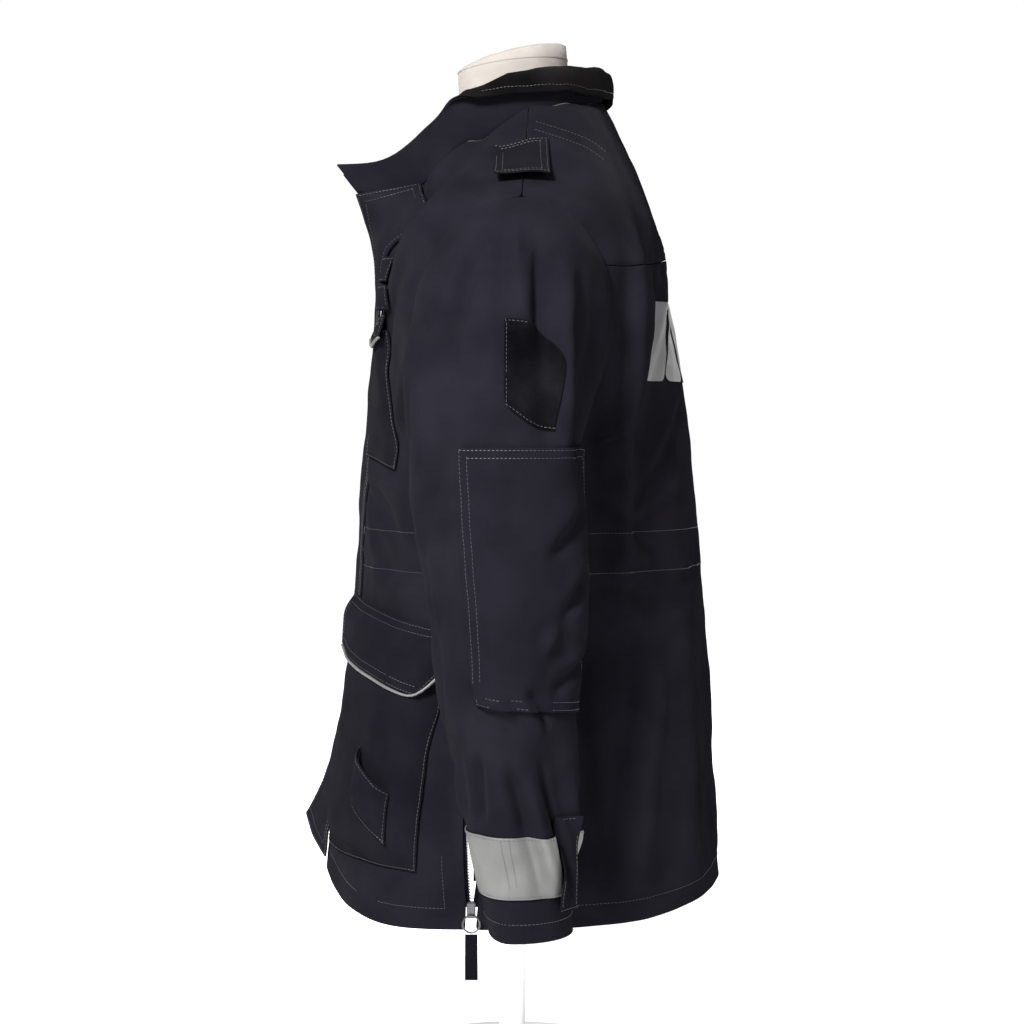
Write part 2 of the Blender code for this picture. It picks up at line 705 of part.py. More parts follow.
def collar_grid():
    """Rows of the collar from the neck seam to its free edge, each from left to right."""
    columns = []
    for turn in COLLAR_TURNS:
        place = read_by(COLLAR_PLACES, COLLAR_COLUMNS, turn)
        seam = body_point(turn, NECK_LEVEL)
        flat = Vector((seam.x, seam.y - 0.012, 0.0))
        if turn < 60.0:
            share = smooth_step(turn / 60.0)
            flat = Vector((1.0, -0.25, 0.0)).lerp(flat.normalized(), share)
        out_dir = flat.normalized()
        along = seam - body_point(turn, NECK_LEVEL - 0.1)
        base = seam + along.normalized() * COLLAR_BASE_GAP - out_dir * TRIM_WALL
        base += Vector(COLLAR_CORNER) * smooth_step(1.0 - turn / COLLAR_TURNS[1])
        columns.append(collar_profile(place, base, out_dir))
    left = [[column[number] for column in columns] for number in range(7)]
    right = mirror_grid([row[:-1] for row in left])
    return [a + b for a, b in zip(left, right)]


def grid_normals(grid):
    """Outward normals of a sheet of points."""
    normals = []
    last_row, last_column = len(grid) - 1, len(grid[0]) - 1
    for r, row in enumerate(grid):
        line = []
        for c in range(len(row)):
            across = grid[r][min(c + 1, last_column)] - grid[r][max(c - 1, 0)]
            along = grid[min(r + 1, last_row)][c] - grid[max(r - 1, 0)][c]
            line.append(across.cross(along).normalized())
        normals.append(line)
    return normals


def lift_grid(grid, distances):
    """A sheet of points moved out along its own normals, one distance for each row."""
    normals = grid_normals(grid)
    return [[point + normal * distance for point, normal in zip(row, line)]
            for row, line, distance in zip(grid, normals, distances)]


def make_collar():
    """Collar of two layers: shell cloth outside and fleece inside, turned down at the back."""
    grid = collar_grid()
    fleece = lift_grid(grid, [-distance for distance in FLEECE_GAPS])
    cloth("collar_shell", grid, finish("shell_cloth", CLOTH_NAVY, 0.75), TRIM_WALL, side=1.0)
    cloth("collar_fleece", fleece, finish("fleece", (0.016, 0.013, 0.012), 0.95), FLEECE_WALL)


# Sleeves and what is sewn on them

def make_sleeves():
    """Two sleeves from the armhole to the cuff."""
    navy = finish("shell_cloth", CLOTH_NAVY, 0.75)
    across = Vector((ARMHOLE_TOP[0] - ARMHOLE_BOTTOM[0], 0.0, ARMHOLE_TOP[1] - ARMHOLE_BOTTOM[1]))
    away = Vector((0.0, -1.0, 0.0)).cross(across).normalized()
    if away.x < 0:
        away = -away
    angles = steps(0.0, 360.0, SLEEVE_SIDES)[:-1]
    sections = steps(0.0, 5.0, 8) + steps(5.0, 12.0, 12)[1:]
    grid = []
    for section in reversed(sections):
        shift = away * GAP * 2.0 * max(0.0, 1.0 - section)
        grid.append([sleeve_point(angle, section) + shift for angle in angles])
    cloth_pair("sleeve", grid, navy, WALL, is_tube=True)


def patch_grid(place, angles, low_line, high_line, rows, lift):
    """A patch on a surface between two height lines, one column for each angle."""
    count = len(angles) - 1
    grid = []
    for up in steps(0.0, 1.0, rows):
        line = []
        for number, angle in enumerate(angles):
            share = number / count
            low, high = low_line(share), high_line(share)
            line.append(place(angle, low + (high - low) * up, lift(share, up)))
        grid.append(line)
    return grid


def even_lift(distance):
    """A lift that is the same all over a patch."""
    return lambda share, up: distance


def make_sleeve_trim():
    """Elbow patch, hook-and-loop patch, reflective cuff band and cuff tab."""
    navy = finish("patch_cloth", (0.022, 0.021, 0.028), 0.8)
    loop = finish("hook_and_loop", (0.010, 0.010, 0.013), 0.95)
    silver = finish("reflective_tape", (0.27, 0.27, 0.265), 0.35, 0.2)

    start, end, low, high, lift = ELBOW_PATCH
    elbow = patch_grid(on_sleeve, steps(start, end, 9), lambda s: low - ELBOW_SLANT * s,
                       lambda s: high, 7, even_lift(lift))
    cloth_pair("elbow_patch", elbow, navy, TRIM_WALL)

    start, end, low, high, lift = HOOK_PATCH
    leaf = patch_grid(on_sleeve, steps(start, end, 5),
                      lambda s: low + HOOK_FOOT_RISE * (1.0 - s) ** 2,
                      lambda s: high - HOOK_TOP_FALL * s ** 3, 5, even_lift(lift))
    cloth_pair("sleeve_hook_patch", leaf, loop, TRIM_WALL)

    start, end, low, high, lift = CUFF_BAND
    band = patch_grid(on_sleeve, steps(start, end, SLEEVE_SIDES), lambda s: low,
                      lambda s: high, 2, even_lift(lift))
    cloth_pair("cuff_band", [row[:-1] for row in band], silver, TRIM_WALL, is_tube=True)

    start, end, low, high, lift = CUFF_TAB
    tab = patch_grid(on_sleeve, steps(start, end, 4), lambda s: low, lambda s: high, 3,
                     lambda s, up: lift + CUFF_TAB_RISE * s * s)
    cloth_pair("cuff_tab", tab, navy, TRIM_WALL)


# Pieces on the body

def pillow(depth, edge=0.18):
    """Lift of a bellows pocket: low at its edges and full over its middle."""
    def lift(share, up):
        side = min(share, 1.0 - share) / edge
        foot = min(up, 1.0 - up) / edge
        full = smooth_step(min(1.0, side)) * smooth_step(min(1.0, foot))
        return TRIM_WALL + GAP * 3.0 + depth * full
    return lift


def make_pockets():
    """Chest and lower pockets with their flaps and piping, and the small front pockets."""
    navy = finish("pocket_cloth", (0.019, 0.018, 0.025), 0.8)
    piping = finish("reflective_piping", (0.45, 0.45, 0.44), 0.4)

    start, end, low, high, depth = CHEST_POCKET
    chest = patch_grid(on_body, steps(start, end, 6), lambda s: low - 0.012 * s,
                       lambda s: high - 0.004 * s, 7, pillow(depth))
    cloth_pair("chest_pocket", chest, navy, TRIM_WALL)

    start, end, low, high, lift = CHEST_FLAP
    chest_flap = patch_grid(on_body, steps(start, end, 6),
                            lambda s: low - 0.008 * math.sin(math.pi * s), lambda s: high, 2,
                            lambda s, up: lift + CHEST_FLAP_LOOSE * (1.0 - up))
    cloth_pair("chest_flap", chest_flap, navy, TRIM_WALL)

    start, end, low, high, depth = LOWER_POCKET
    lower = patch_grid(on_body, steps(start, end, 8), lambda s: low - 0.003 * s,
                       lambda s: high - 0.018 * s, 9, pillow(depth, 0.12))
    cloth_pair("lower_pocket", lower, navy, TRIM_WALL)

    start, end, low, high, lift = LOWER_FLAP
    lower_flap = patch_grid(on_body, steps(start, end, 8),
                            lambda s: low - 0.040 * s + 0.030 * smooth_step((s - 0.86) / 0.14),
                            lambda s: high - 0.024 * s, 3,
                            lambda s, up: lift + LOWER_FLAP_LOOSE * smooth_step((1.15 - up) / 0.5))
    cloth_pair("lower_flap", lower_flap, navy, TRIM_WALL)

    start, end, low, high, depth = SMALL_POCKET
    foot_fall, top_fall = SMALL_POCKET_FALL
    small = patch_grid(on_body, steps(start, end, 5), lambda s: low - foot_fall * s,
                       lambda s: high - top_fall * s, 4,
                       lambda s, up: SMALL_POCKET_LIFT + depth * smooth_step(up / 0.2)
                       * smooth_step(min(s, 1.0 - s) / 0.2))
    cloth_pair("small_pocket", small, navy, TRIM_WALL)
    make_piping("chest_piping", chest_flap[0], piping)
    make_piping("lower_piping", lower_flap[0], piping)


def make_piping(name, edge, material):
    """A cord of reflective piping along the lower edge of a flap, left and right."""
    for side, sign in (("_left", 1.0), ("_right", -1.0)):
        curve = bpy.data.curves.new(name + side, "CURVE")
        curve.dimensions = "3D"
        curve.bevel_depth = PIPING_RADIUS
        curve.bevel_resolution = 1
        curve.use_fill_caps = True
        spline = curve.splines.new("POLY")
        spline.points.add(len(edge) - 1)
        for target, point in zip(spline.points, edge):
            target.co = (point.x * sign, point.y, point.z - PIPING_DROP, 1.0)
        item = bpy.data.objects.new(name + side, curve)
        curve.materials.append(material)
        part_collection().objects.link(item)


def make_chest_loops():
    """Two loops for a radio or a microphone above each chest pocket."""
    navy = finish("pocket_cloth", (0.019, 0.018, 0.025), 0.8)
    for name, start, end, low, high, lift in CHEST_LOOPS:
        loop = patch_grid(on_body, steps(start, end, 4), lambda s: low, lambda s: high, 2,
                          lambda s, up: lift + LOOP_BOW * math.sin(math.pi * s) ** 0.8)
        cloth_pair(name, loop, navy, TRIM_WALL)


def make_epaulettes():
    """Shoulder straps, sewn in at the neck side with a loose lifted outer end."""
    navy = finish("pocket_cloth", (0.019, 0.018, 0.025), 0.8)
    outer_level, inner_level = EPAULETTE_LEVELS
    grid = []
    for share in steps(0.0, 1.0, 5):
        level = outer_level + (inner_level - outer_level) * share
        line = []
        for side in steps(-1.0, 1.0, 4):
            wave = 0.0010 * math.sin(5.0 * side) * (1.0 - share)
            lift = WALL + GAP * 5.0 + EPAULETTE_RISE * (1.0 - share) ** 2 + wave
            line.append(body_point(91.0 + EPAULETTE_HALF_TURN * side, level, lift))
        grid.append(line)
    cloth_pair("epaulette", grid, navy, WALL)


# Side vents

def make_side_zips():
    """Zip tapes on both edges of each side vent, the slider at the hem and its pull."""
    black = finish("zip_tape", (0.012, 0.012, 0.014), 0.7)
    metal = finish("zip_metal", (0.06, 0.06, 0.065), 0.35, 1.0)
    webbing = finish("pull_webbing", (0.008, 0.008, 0.012), 0.85)
    under = -(WALL + GAP * 2.0)
    levels = [level for level in panel_levels() if 0.3 < level < 2.9]
    for name, sign in (("side_zip_front_tape", -1.0), ("side_zip_back_tape", 1.0)):
        grid = []
        for level in levels:
            seam = 90.0 if sign < 0 else BACK_START
            edge = body_point(seam, level, under)
            inner = body_point(90.0 + sign * VENT_TAPE_TURN, level, under)
            reach = (edge - inner).normalized() * (vent_edge(edge.z) - GAP * 1.5)
            line = [edge + reach, inner]
            grid.append(line if sign > 0 else list(reversed(line)))
        cloth_pair(name, grid, black, TRIM_WALL)
    row = read_table(BODY_LEVELS, BODY_COLUMNS, level_at(89.9, SIDE_SLIDER_HEIGHT))
    for side, mirror in (("_left", 1.0), ("_right", -1.0)):
        centre = Vector((mirror * (row["side_x"] + 0.0016), row["side_y"], SIDE_SLIDER_HEIGHT))
        slider = rounded_box("side_slider" + side, (0.0046, 0.0078, 0.014), metal, 0.001)
        slider.location = centre
        make_pull("side_pull" + side, centre, mirror, metal, webbing)


def make_pull(name, slider, mirror, metal, webbing):
    """Wire ring through the slider's eye with a webbing tape, which swings on the slider."""
    pivot = Vector((slider.x + mirror * 0.0038, slider.y, slider.z - 0.004))
    bpy.ops.mesh.primitive_torus_add(major_radius=RING_RADIUS, minor_radius=RING_WIRE,
                                     major_segments=14, minor_segments=5,
                                     rotation=(0.0, math.pi / 2.0, 0.0))
    ring = bpy.context.active_object
    ring.name = name + "_ring"
    ring.data.name = ring.name
    ring.data.transform(ring.matrix_world.to_3x3().to_4x4())
    ring.rotation_euler = (0.0, 0.0, 0.0)
    ring.data.materials.append(metal)
    ring.data.shade_smooth()
    move_to_part(ring)
    ring.location = pivot + Vector((0.0, 0.0, -RING_RADIUS))
    tape = rounded_box(name + "_tape", PULL_TAPE, webbing, 0.0003)
    drop = 2.0 * RING_RADIUS + RING_WIRE + GAP + PULL_TAPE[2] / 2.0
    tape.location = pivot + Vector((0.0, 0.0, -drop))


# Dress form and stand

def oval(half_width, front_y, back_y, height, middle_y=0.0, tilt=0.0, count=20):
    """A ring of points, as wide and as deep as asked, higher at the back by a tilt."""
    ring = []
    for number in range(count):
        angle = 2.0 * math.pi * number / count
        depth = middle_y - front_y if math.sin(angle) < 0 else back_y - middle_y
        y = middle_y + depth * math.sin(angle)
        ring.append(Vector((half_width * math.cos(angle), y, height + tilt * y / 0.05)))
    return ring


def shoulder_reach(height):
    """How far out the inside of the jacket is at the shoulder seam, at one height."""
    return body_point(90.0, level_at(90.0, height), -(WALL + GAP)).x


def make_dress_form():
    """Smooth torso without arms, closed at the hips, with a capped neck."""
    linen = finish("form_linen", (0.70, 0.64, 0.57), 0.85)
    rings = []
    for position in steps(0.0, len(FORM_SECTIONS) - 1.0, 9):
        row = read_table(FORM_SECTIONS, FORM_COLUMNS, position)
        rings.append(oval(row["half_width"], row["front_y"], row["back_y"], row["height"]))
    for height in SHOULDER_REST:
        share = (height - SHOULDER_REST[0]) / (SHOULDER_REST[-1] - SHOULDER_REST[0])
        front_y = -0.036 + 0.018 * share
        back_y = 0.074 - 0.010 * share
        reach = shoulder_reach(height + SHOULDER_CLEARANCE)
        rings.append(oval(reach, front_y, back_y, height, SHOULDER_MIDDLE))
    for height, half_width, front_y, back_y in FORM_NECK:
        tilt = NECK_CAP_RISE if height > 0.95 else 0.0
        rings.append(oval(half_width, front_y, back_y, height, tilt=tilt))
    height, half_width, front_y, back_y = FORM_NECK[-1]
    rings.append(oval(half_width * 0.75, front_y * 0.75, back_y * 0.75,
                      height + NECK_CAP_DOME, tilt=NECK_CAP_RISE))
    loft_solid("dress_form", rings, linen)


def turned_disc(name, radius, thickness, bottom, material, edge, sides=32):
    """A flat round piece with a rounded rim."""
    bpy.ops.mesh.primitive_cylinder_add(vertices=sides, radius=radius, depth=thickness)
    item = bpy.context.active_object
    item.name = name
    item.data.name = name
    item.data.materials.append(material)
    move_to_part(item)
    item.location = (0.0, 0.0, bottom + thickness / 2.0)
    if edge > 0.0:
        bevel = item.modifiers.new("rim", "BEVEL")
        bevel.width = edge
        bevel.segments = 2
        bevel.limit_method = "ANGLE"
    return item


def make_stand():
    """Round base plate, pole and the flange under the dress form."""
    steel = finish("stand_steel", (0.55, 0.55, 0.56), 0.35, 1.0)
    form_bottom = FORM_SECTIONS[0][0]
    turned_disc("stand_base", BASE_RADIUS, BASE_THICKNESS, 0.0, steel, 0.0015, 32)
    pole_bottom = BASE_THICKNESS + GAP
    pole_top = form_bottom - FLANGE_THICKNESS - GAP * 2.0
    turned_disc("stand_pole", POLE_RADIUS, pole_top - pole_bottom, pole_bottom, steel, 0.0, 20)
    turned_disc("stand_flange", FLANGE_RADIUS, FLANGE_THICKNESS,
                form_bottom - FLANGE_THICKNESS - GAP, steel, 0.002, 20)


def main():
    """Build every piece of the jacket and its stand."""
    clear_scene()
    make_body()
    make_storm_flap()
    make_front_zip()
    make_collar()
    make_sleeves()
    make_sleeve_trim()
    make_pockets()
    make_chest_loops()
    make_epaulettes()
    make_side_zips()
    make_dress_form()
    make_stand()


main()
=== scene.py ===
# %% [markdown]
# # A police uniform jacket on a dress form
#
# The real jacket is a navy shell of coated twill with a fleece-lined collar, bellows pockets,
# silver bands and zipped side vents. Its solids give every piece its place and its largest
# folds. Here each piece becomes cloth: its solid is copied, made smooth, creased and given its
# own finish. Stitching, zip teeth and the silver bars of the back are added on it.

import math

import bpy
import numpy as np
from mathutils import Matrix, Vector
from mathutils.bvhtree import BVHTree
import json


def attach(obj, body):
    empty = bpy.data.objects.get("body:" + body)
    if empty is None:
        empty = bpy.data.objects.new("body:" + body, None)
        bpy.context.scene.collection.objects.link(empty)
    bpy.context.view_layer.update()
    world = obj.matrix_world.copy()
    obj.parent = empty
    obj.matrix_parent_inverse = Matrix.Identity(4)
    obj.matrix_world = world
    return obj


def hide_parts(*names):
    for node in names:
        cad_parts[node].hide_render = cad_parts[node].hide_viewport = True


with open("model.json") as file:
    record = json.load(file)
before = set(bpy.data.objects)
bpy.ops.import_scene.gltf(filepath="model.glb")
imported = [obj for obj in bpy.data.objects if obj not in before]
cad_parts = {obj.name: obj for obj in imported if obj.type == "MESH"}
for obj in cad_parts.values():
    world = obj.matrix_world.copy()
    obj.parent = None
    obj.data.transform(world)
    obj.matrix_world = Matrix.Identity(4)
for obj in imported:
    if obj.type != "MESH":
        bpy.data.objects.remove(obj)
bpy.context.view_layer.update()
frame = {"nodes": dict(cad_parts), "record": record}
nodes = frame["nodes"]
print("pieces in the frame:", len(nodes))

# %% [markdown]
# ## Places round the body and round a sleeve
#
# A crease is easiest to place by how far round the body or the sleeve it lies and how high up.
# So every point of the cloth gets an angle, a height and a direction that points away from the
# middle. Angle 0 is the centre front of the body, 90 the wearer's left side and 180 the back.
# On a sleeve, 0 faces the body, 90 the front and 180 outwards.

# %% Angle, height and outward direction of points
BODY_HALF_WIDTH, BODY_HALF_DEPTH, BODY_MIDDLE_Y = 0.190, 0.160, 0.015
BODY_RADIUS = 0.180
SLEEVE_HEIGHTS = (0.150, 0.192, 0.245, 0.296, 0.340, 0.390, 0.450, 0.520, 0.590, 0.700, 0.800)
SLEEVE_MIDDLE_Y = (0.018, 0.016, 0.011, 0.007, 0.003, -0.005, -0.004, -0.010, -0.015, -0.008, 0.0)
SLEEVE_MIDDLE_X = (0.250, 0.250, 0.251, 0.252, 0.253, 0.255, 0.256, 0.258, 0.259, 0.255, 0.235)
SLEEVE_RADIUS = 0.055
SHOULDER_HEIGHT = 0.74


def body_places(points):
    """Angle in degrees, height and outward direction of points of the body."""
    across = points[:, 0] / BODY_HALF_WIDTH
    forward = -(points[:, 1] - BODY_MIDDLE_Y) / BODY_HALF_DEPTH
    turn = np.degrees(np.arctan2(across, forward))
    lean = np.clip((points[:, 2] - SHOULDER_HEIGHT) / 0.12, 0.0, 1.0)
    out = np.stack([across / BODY_HALF_WIDTH, -forward / BODY_HALF_DEPTH,
                    lean * 6.0], axis=1)
    out /= np.linalg.norm(out, axis=1, keepdims=True)
    return turn, points[:, 2], out


def sleeve_places(points):
    """The same for points of either sleeve; the right one is seen as in a mirror."""
    side = np.sign(points[:, 0])
    middle_x = np.interp(points[:, 2], SLEEVE_HEIGHTS, SLEEVE_MIDDLE_X)
    middle_y = np.interp(points[:, 2], SLEEVE_HEIGHTS, SLEEVE_MIDDLE_Y)
    across = np.abs(points[:, 0]) - middle_x
    along = points[:, 1] - middle_y
    turn = np.degrees(np.arctan2(-along, -across)) % 360.0
    lean = np.clip((points[:, 2] - 0.70) / 0.12, 0.0, 1.0) * 0.05
    out = np.stack([across * side, along, lean], axis=1)
    out /= np.maximum(np.linalg.norm(out, axis=1, keepdims=True), 1e-6)
    return turn, points[:, 2], out


# %% [markdown]
# ## Creases placed one by one
#
# Cloth that hangs from the shoulders doesn't wave evenly. It breaks in a few troughs where it
# is pushed together, each with a softer ridge beside it. Each row below is one of them: from
# one angle and height to another, its half width and its depth. A negative depth is a trough.
# The hidden side gets similar ones, a little moved, so that it isn't a mirror image.

# %% Crease tables and how they move a point
BODY_CREASES = (
    # from_turn, from_z, to_turn, to_z, half_width, depth
    (76, 0.880, 52, 0.730, 0.012, 0.0090),     # chest ridge from the shoulder
    (60, 0.890, 30, 0.720, 0.015, -0.0150),    # deep hollow before it
    (62, 0.770, 38, 0.660, 0.009, -0.0055),
    (66, 0.720, 46, 0.600, 0.010, 0.0050),
    (20, 0.560, 52, 0.520, 0.007, -0.0050),    # breaks at the waist
    (28, 0.500, 70, 0.470, 0.008, -0.0050),
    (60, 0.560, 86, 0.510, 0.009, -0.0055),
    (24, 0.620, 34, 0.470, 0.009, 0.0040),
    (70, 0.420, 76, 0.220, 0.012, 0.0065),
    (84, 0.460, 60, 0.380, 0.009, -0.0040),
    (30, 0.240, 56, 0.200, 0.008, -0.0030),
    (106, 0.800, 112, 0.470, 0.012, -0.0100),  # shadow beside the back drape
    (121, 0.800, 120, 0.440, 0.009, 0.0075),
    (133, 0.760, 126, 0.600, 0.008, -0.0055),
    (142, 0.820, 124, 0.700, 0.007, -0.0041),  # crossing creases of the back
    (152, 0.805, 130, 0.660, 0.007, 0.0032),
    (136, 0.770, 156, 0.690, 0.006, -0.0029),
    (168, 0.800, 140, 0.640, 0.008, -0.0032),
    (160, 0.640, 128, 0.560, 0.008, -0.0038),
    (150, 0.580, 120, 0.520, 0.007, 0.0050),
    (108, 0.560, 138, 0.500, 0.008, -0.0065),
    (118, 0.480, 152, 0.450, 0.008, -0.0050),
    (172, 0.520, 142, 0.470, 0.008, -0.0040),
    (104, 0.440, 116, 0.210, 0.012, -0.0080),  # flutes of the skirt
    (132, 0.430, 128, 0.200, 0.013, 0.0080),
    (150, 0.420, 156, 0.200, 0.012, -0.0070),
    (168, 0.440, 170, 0.200, 0.013, 0.0055),
)
SLEEVE_CREASES = (
    (244, 0.760, 262, 0.560, 0.008, -0.0085),  # deep fold at the back of the upper arm
    (226, 0.755, 240, 0.590, 0.007, 0.0070),
    (208, 0.770, 226, 0.660, 0.006, -0.0055),
    (190, 0.780, 196, 0.700, 0.007, 0.0040),
    (150, 0.770, 128, 0.640, 0.008, -0.0055),
    (128, 0.740, 108, 0.610, 0.008, 0.0055),
    (104, 0.700, 84, 0.560, 0.008, -0.0065),
    (140, 0.620, 112, 0.480, 0.008, -0.0065),  # trough of the forearm's front
    (122, 0.570, 96, 0.400, 0.007, 0.0055),
    (106, 0.500, 92, 0.350, 0.006, -0.0055),
    (262, 0.560, 224, 0.500, 0.007, -0.0055),  # bend of the elbow
    (270, 0.500, 216, 0.445, 0.006, -0.0065),
    (250, 0.470, 208, 0.430, 0.006, 0.0050),
    (276, 0.430, 226, 0.395, 0.006, -0.0055),
    (196, 0.400, 226, 0.372, 0.005, -0.0065),  # puckers under the patch
    (160, 0.392, 190, 0.380, 0.005, 0.0050),
    (130, 0.410, 170, 0.368, 0.006, -0.0050),
    (210, 0.345, 232, 0.222, 0.006, -0.0095),  # deep fold above the cuff
    (194, 0.335, 206, 0.225, 0.007, 0.0095),
    (176, 0.345, 182, 0.280, 0.006, -0.0050),
    (250, 0.330, 258, 0.250, 0.007, 0.0050),
    (150, 0.350, 130, 0.285, 0.006, -0.0055),
    (120, 0.335, 96, 0.290, 0.006, 0.0050),
    (20, 0.520, 60, 0.430, 0.008, -0.0065),    # inner side of the elbow
    (350, 0.480, 320, 0.400, 0.008, -0.0055),
    (30, 0.380, 70, 0.330, 0.007, 0.0050),
    (300, 0.320, 340, 0.260, 0.007, -0.0050),
)
HIDDEN_SIDE_TURN = 4.0       # degrees by which the right side's creases are moved
HIDDEN_SIDE_RISE = 0.011


def crease_lift(turn, height, rows, radius, full_turn):
    """How far every crease moves each point outwards."""
    total = np.zeros(len(turn))
    for from_turn, from_z, to_turn, to_z, half_width, depth in rows:
        start = np.array([math.radians(from_turn) * radius, from_z])
        end = np.array([math.radians(to_turn) * radius, to_z])
        line = end - start
        length = float(np.hypot(*line))
        away = turn - from_turn
        if full_turn:
            away = (away + 180.0) % 360.0 - 180.0
        offset = np.stack([np.radians(away) * radius, height - from_z], axis=1)
        along = offset @ line / length ** 2
        across = (offset[:, 0] * line[1] - offset[:, 1] * line[0]) / length
        bend = 0.5 * half_width * np.sin(along * math.pi * 1.4 + from_z * 40.0)
        fade = np.clip(np.minimum(along, 1.0 - along) / 0.35 + 0.15, 0.0, 1.0)
        fade = fade * fade * (3.0 - 2.0 * fade)
        middle = np.exp(-((across - bend) / half_width) ** 2)
        beside = np.exp(-((across - bend - 1.9 * half_width) / (1.2 * half_width)) ** 2)
        total += depth * fade * (middle - 0.45 * beside)
    return total


def soft_waves(turn, height, radius, size):
    """A low uneven swell all over the cloth, from a few waves that never line up."""
    arc = np.radians(turn) * radius
    swell = np.sin(arc * 71.0 + height * 23.0 + 0.8) * np.sin(height * 47.0 - arc * 18.0)
    swell += 0.6 * np.sin(arc * 38.0 - height * 88.0 + 2.1) * np.sin(height * 31.0 + 1.3)
    swell += 0.4 * np.sin(arc * 131.0 + height * 97.0) * np.sin(height * 139.0 - arc * 60.0)
    return swell * size


def body_lift(points):
    """Outward move of points of the body, the left side and the right a little apart."""
    turn, height, out = body_places(points)
    right = turn < 0.0
    angle = np.abs(turn) + np.where(right, HIDDEN_SIDE_TURN * np.sin(height * 9.0), 0.0)
    level = height + np.where(right, HIDDEN_SIDE_RISE, 0.0)
    lift = crease_lift(angle, level, BODY_CREASES, BODY_RADIUS, False)
    lift += soft_waves(turn, height, BODY_RADIUS, 0.0009)
    return out * lift[:, None]


def sleeve_lift(points):
    """The same for the sleeves."""
    turn, height, out = sleeve_places(points)
    right = points[:, 0] < 0.0
    angle = turn + np.where(right, HIDDEN_SIDE_TURN * 1.6, 0.0)
    level = height + np.where(right, HIDDEN_SIDE_RISE, 0.0)
    lift = crease_lift(angle, level, SLEEVE_CREASES, SLEEVE_RADIUS, True)
    lift += 0.0006 * np.sin(np.radians(turn) * 3.0 + height * 61.0) * np.sin(height * 83.0)
    return out * lift[:, None]


print("creases placed:", len(BODY_CREASES) + len(SLEEVE_CREASES))

# %% [markdown]
# ## From a solid to a piece of cloth
#
# A node of the frame is a closed wall of loose triangles. Its copy is merged and turned back
# into quads, and Subdivision Surface rounds it, so that the facets go and the cut edges turn
# soft like a folded hem. Then both faces of the wall take the same creases. Each piece also gets
# a UV map in metres, angle times radius across and height up, that the weave runs along.

# %% Copy a node and make it cloth
RIM_WIDTH = 0.0024       # a face narrower than this is part of a wall's rim


def deselect_all():
    """Nothing selected and nothing in edit mode."""
    if bpy.context.object and bpy.context.object.mode != "OBJECT":
        bpy.ops.object.mode_set(mode="OBJECT")
    bpy.ops.object.select_all(action="DESELECT")


def pick(item):
    """Make one object the only selected and active one."""
    deselect_all()
    item.select_set(True)
    bpy.context.view_layer.objects.active = item


def copied_wall(name, node):
    """A merged copy of a node's mesh, with its triangles joined into quads."""
    item = bpy.data.objects.new(name, nodes[node].data.copy())
    item.data.name = name
    item.data.materials.clear()
    bpy.context.scene.collection.objects.link(item)
    pick(item)
    bpy.ops.object.mode_set(mode="EDIT")
    bpy.ops.mesh.select_all(action="SELECT")
    bpy.ops.mesh.remove_doubles(threshold=0.00002)
    bpy.ops.mesh.tris_convert_to_quads(face_threshold=math.radians(60),
                                       shape_threshold=math.radians(60))
    bpy.ops.object.mode_set(mode="OBJECT")
    return item


def keep_cut_edges(item):
    """Crease the edges round the wall's narrow rim, so that smoothing doesn't draw it in."""
    mesh = item.data
    rim = set()
    for face in mesh.polygons:
        longest = max((mesh.vertices[a].co - mesh.vertices[b].co).length
                      for a, b in face.edge_keys)
        if face.area / longest < RIM_WIDTH:
            rim.update(face.edge_keys)
    sides = {}
    for face in mesh.polygons:
        for key in face.edge_keys:
            sides.setdefault(key, []).append(face.normal)
    crease = mesh.attributes.new("crease_edge", "FLOAT", "EDGE")
    for edge in mesh.edges:
        facing = sides.get(edge.key, [])
        if edge.key in rim and len(facing) == 2 and facing[0].dot(facing[1]) < 0.5:
            crease.data[edge.index].value = 0.9


def points_of(item):
    """The vertices of a mesh as an array."""
    flat = np.zeros(len(item.data.vertices) * 3, np.float32)
    item.data.vertices.foreach_get("co", flat)
    return flat.reshape(-1, 3).astype(float)


def set_points(item, points):
    """Write an array of vertices back."""
    item.data.vertices.foreach_set("co", points.astype(np.float32).ravel())
    item.data.update()


def round_off(item, levels):
    """Subdivision Surface, applied."""
    smooth = item.modifiers.new("smooth", "SUBSURF")
    smooth.levels = levels
    smooth.render_levels = levels
    pick(item)
    bpy.ops.object.modifier_apply(modifier="smooth")
    bpy.ops.object.shade_smooth()


def lay_weave(item, on_sleeve):
    """A UV map in metres along the cloth, for its weave."""
    points = points_of(item)
    turn, height, _ = sleeve_places(points) if on_sleeve else body_places(points)
    radius = SLEEVE_RADIUS if on_sleeve else BODY_RADIUS
    uv = np.stack([np.radians(turn) * radius, height], axis=1)
    layer = item.data.uv_layers.new(name="weave")
    corners = np.zeros(len(item.data.loops), np.int32)
    item.data.loops.foreach_get("vertex_index", corners)
    layer.data.foreach_set("uv", uv[corners].astype(np.float32).ravel())


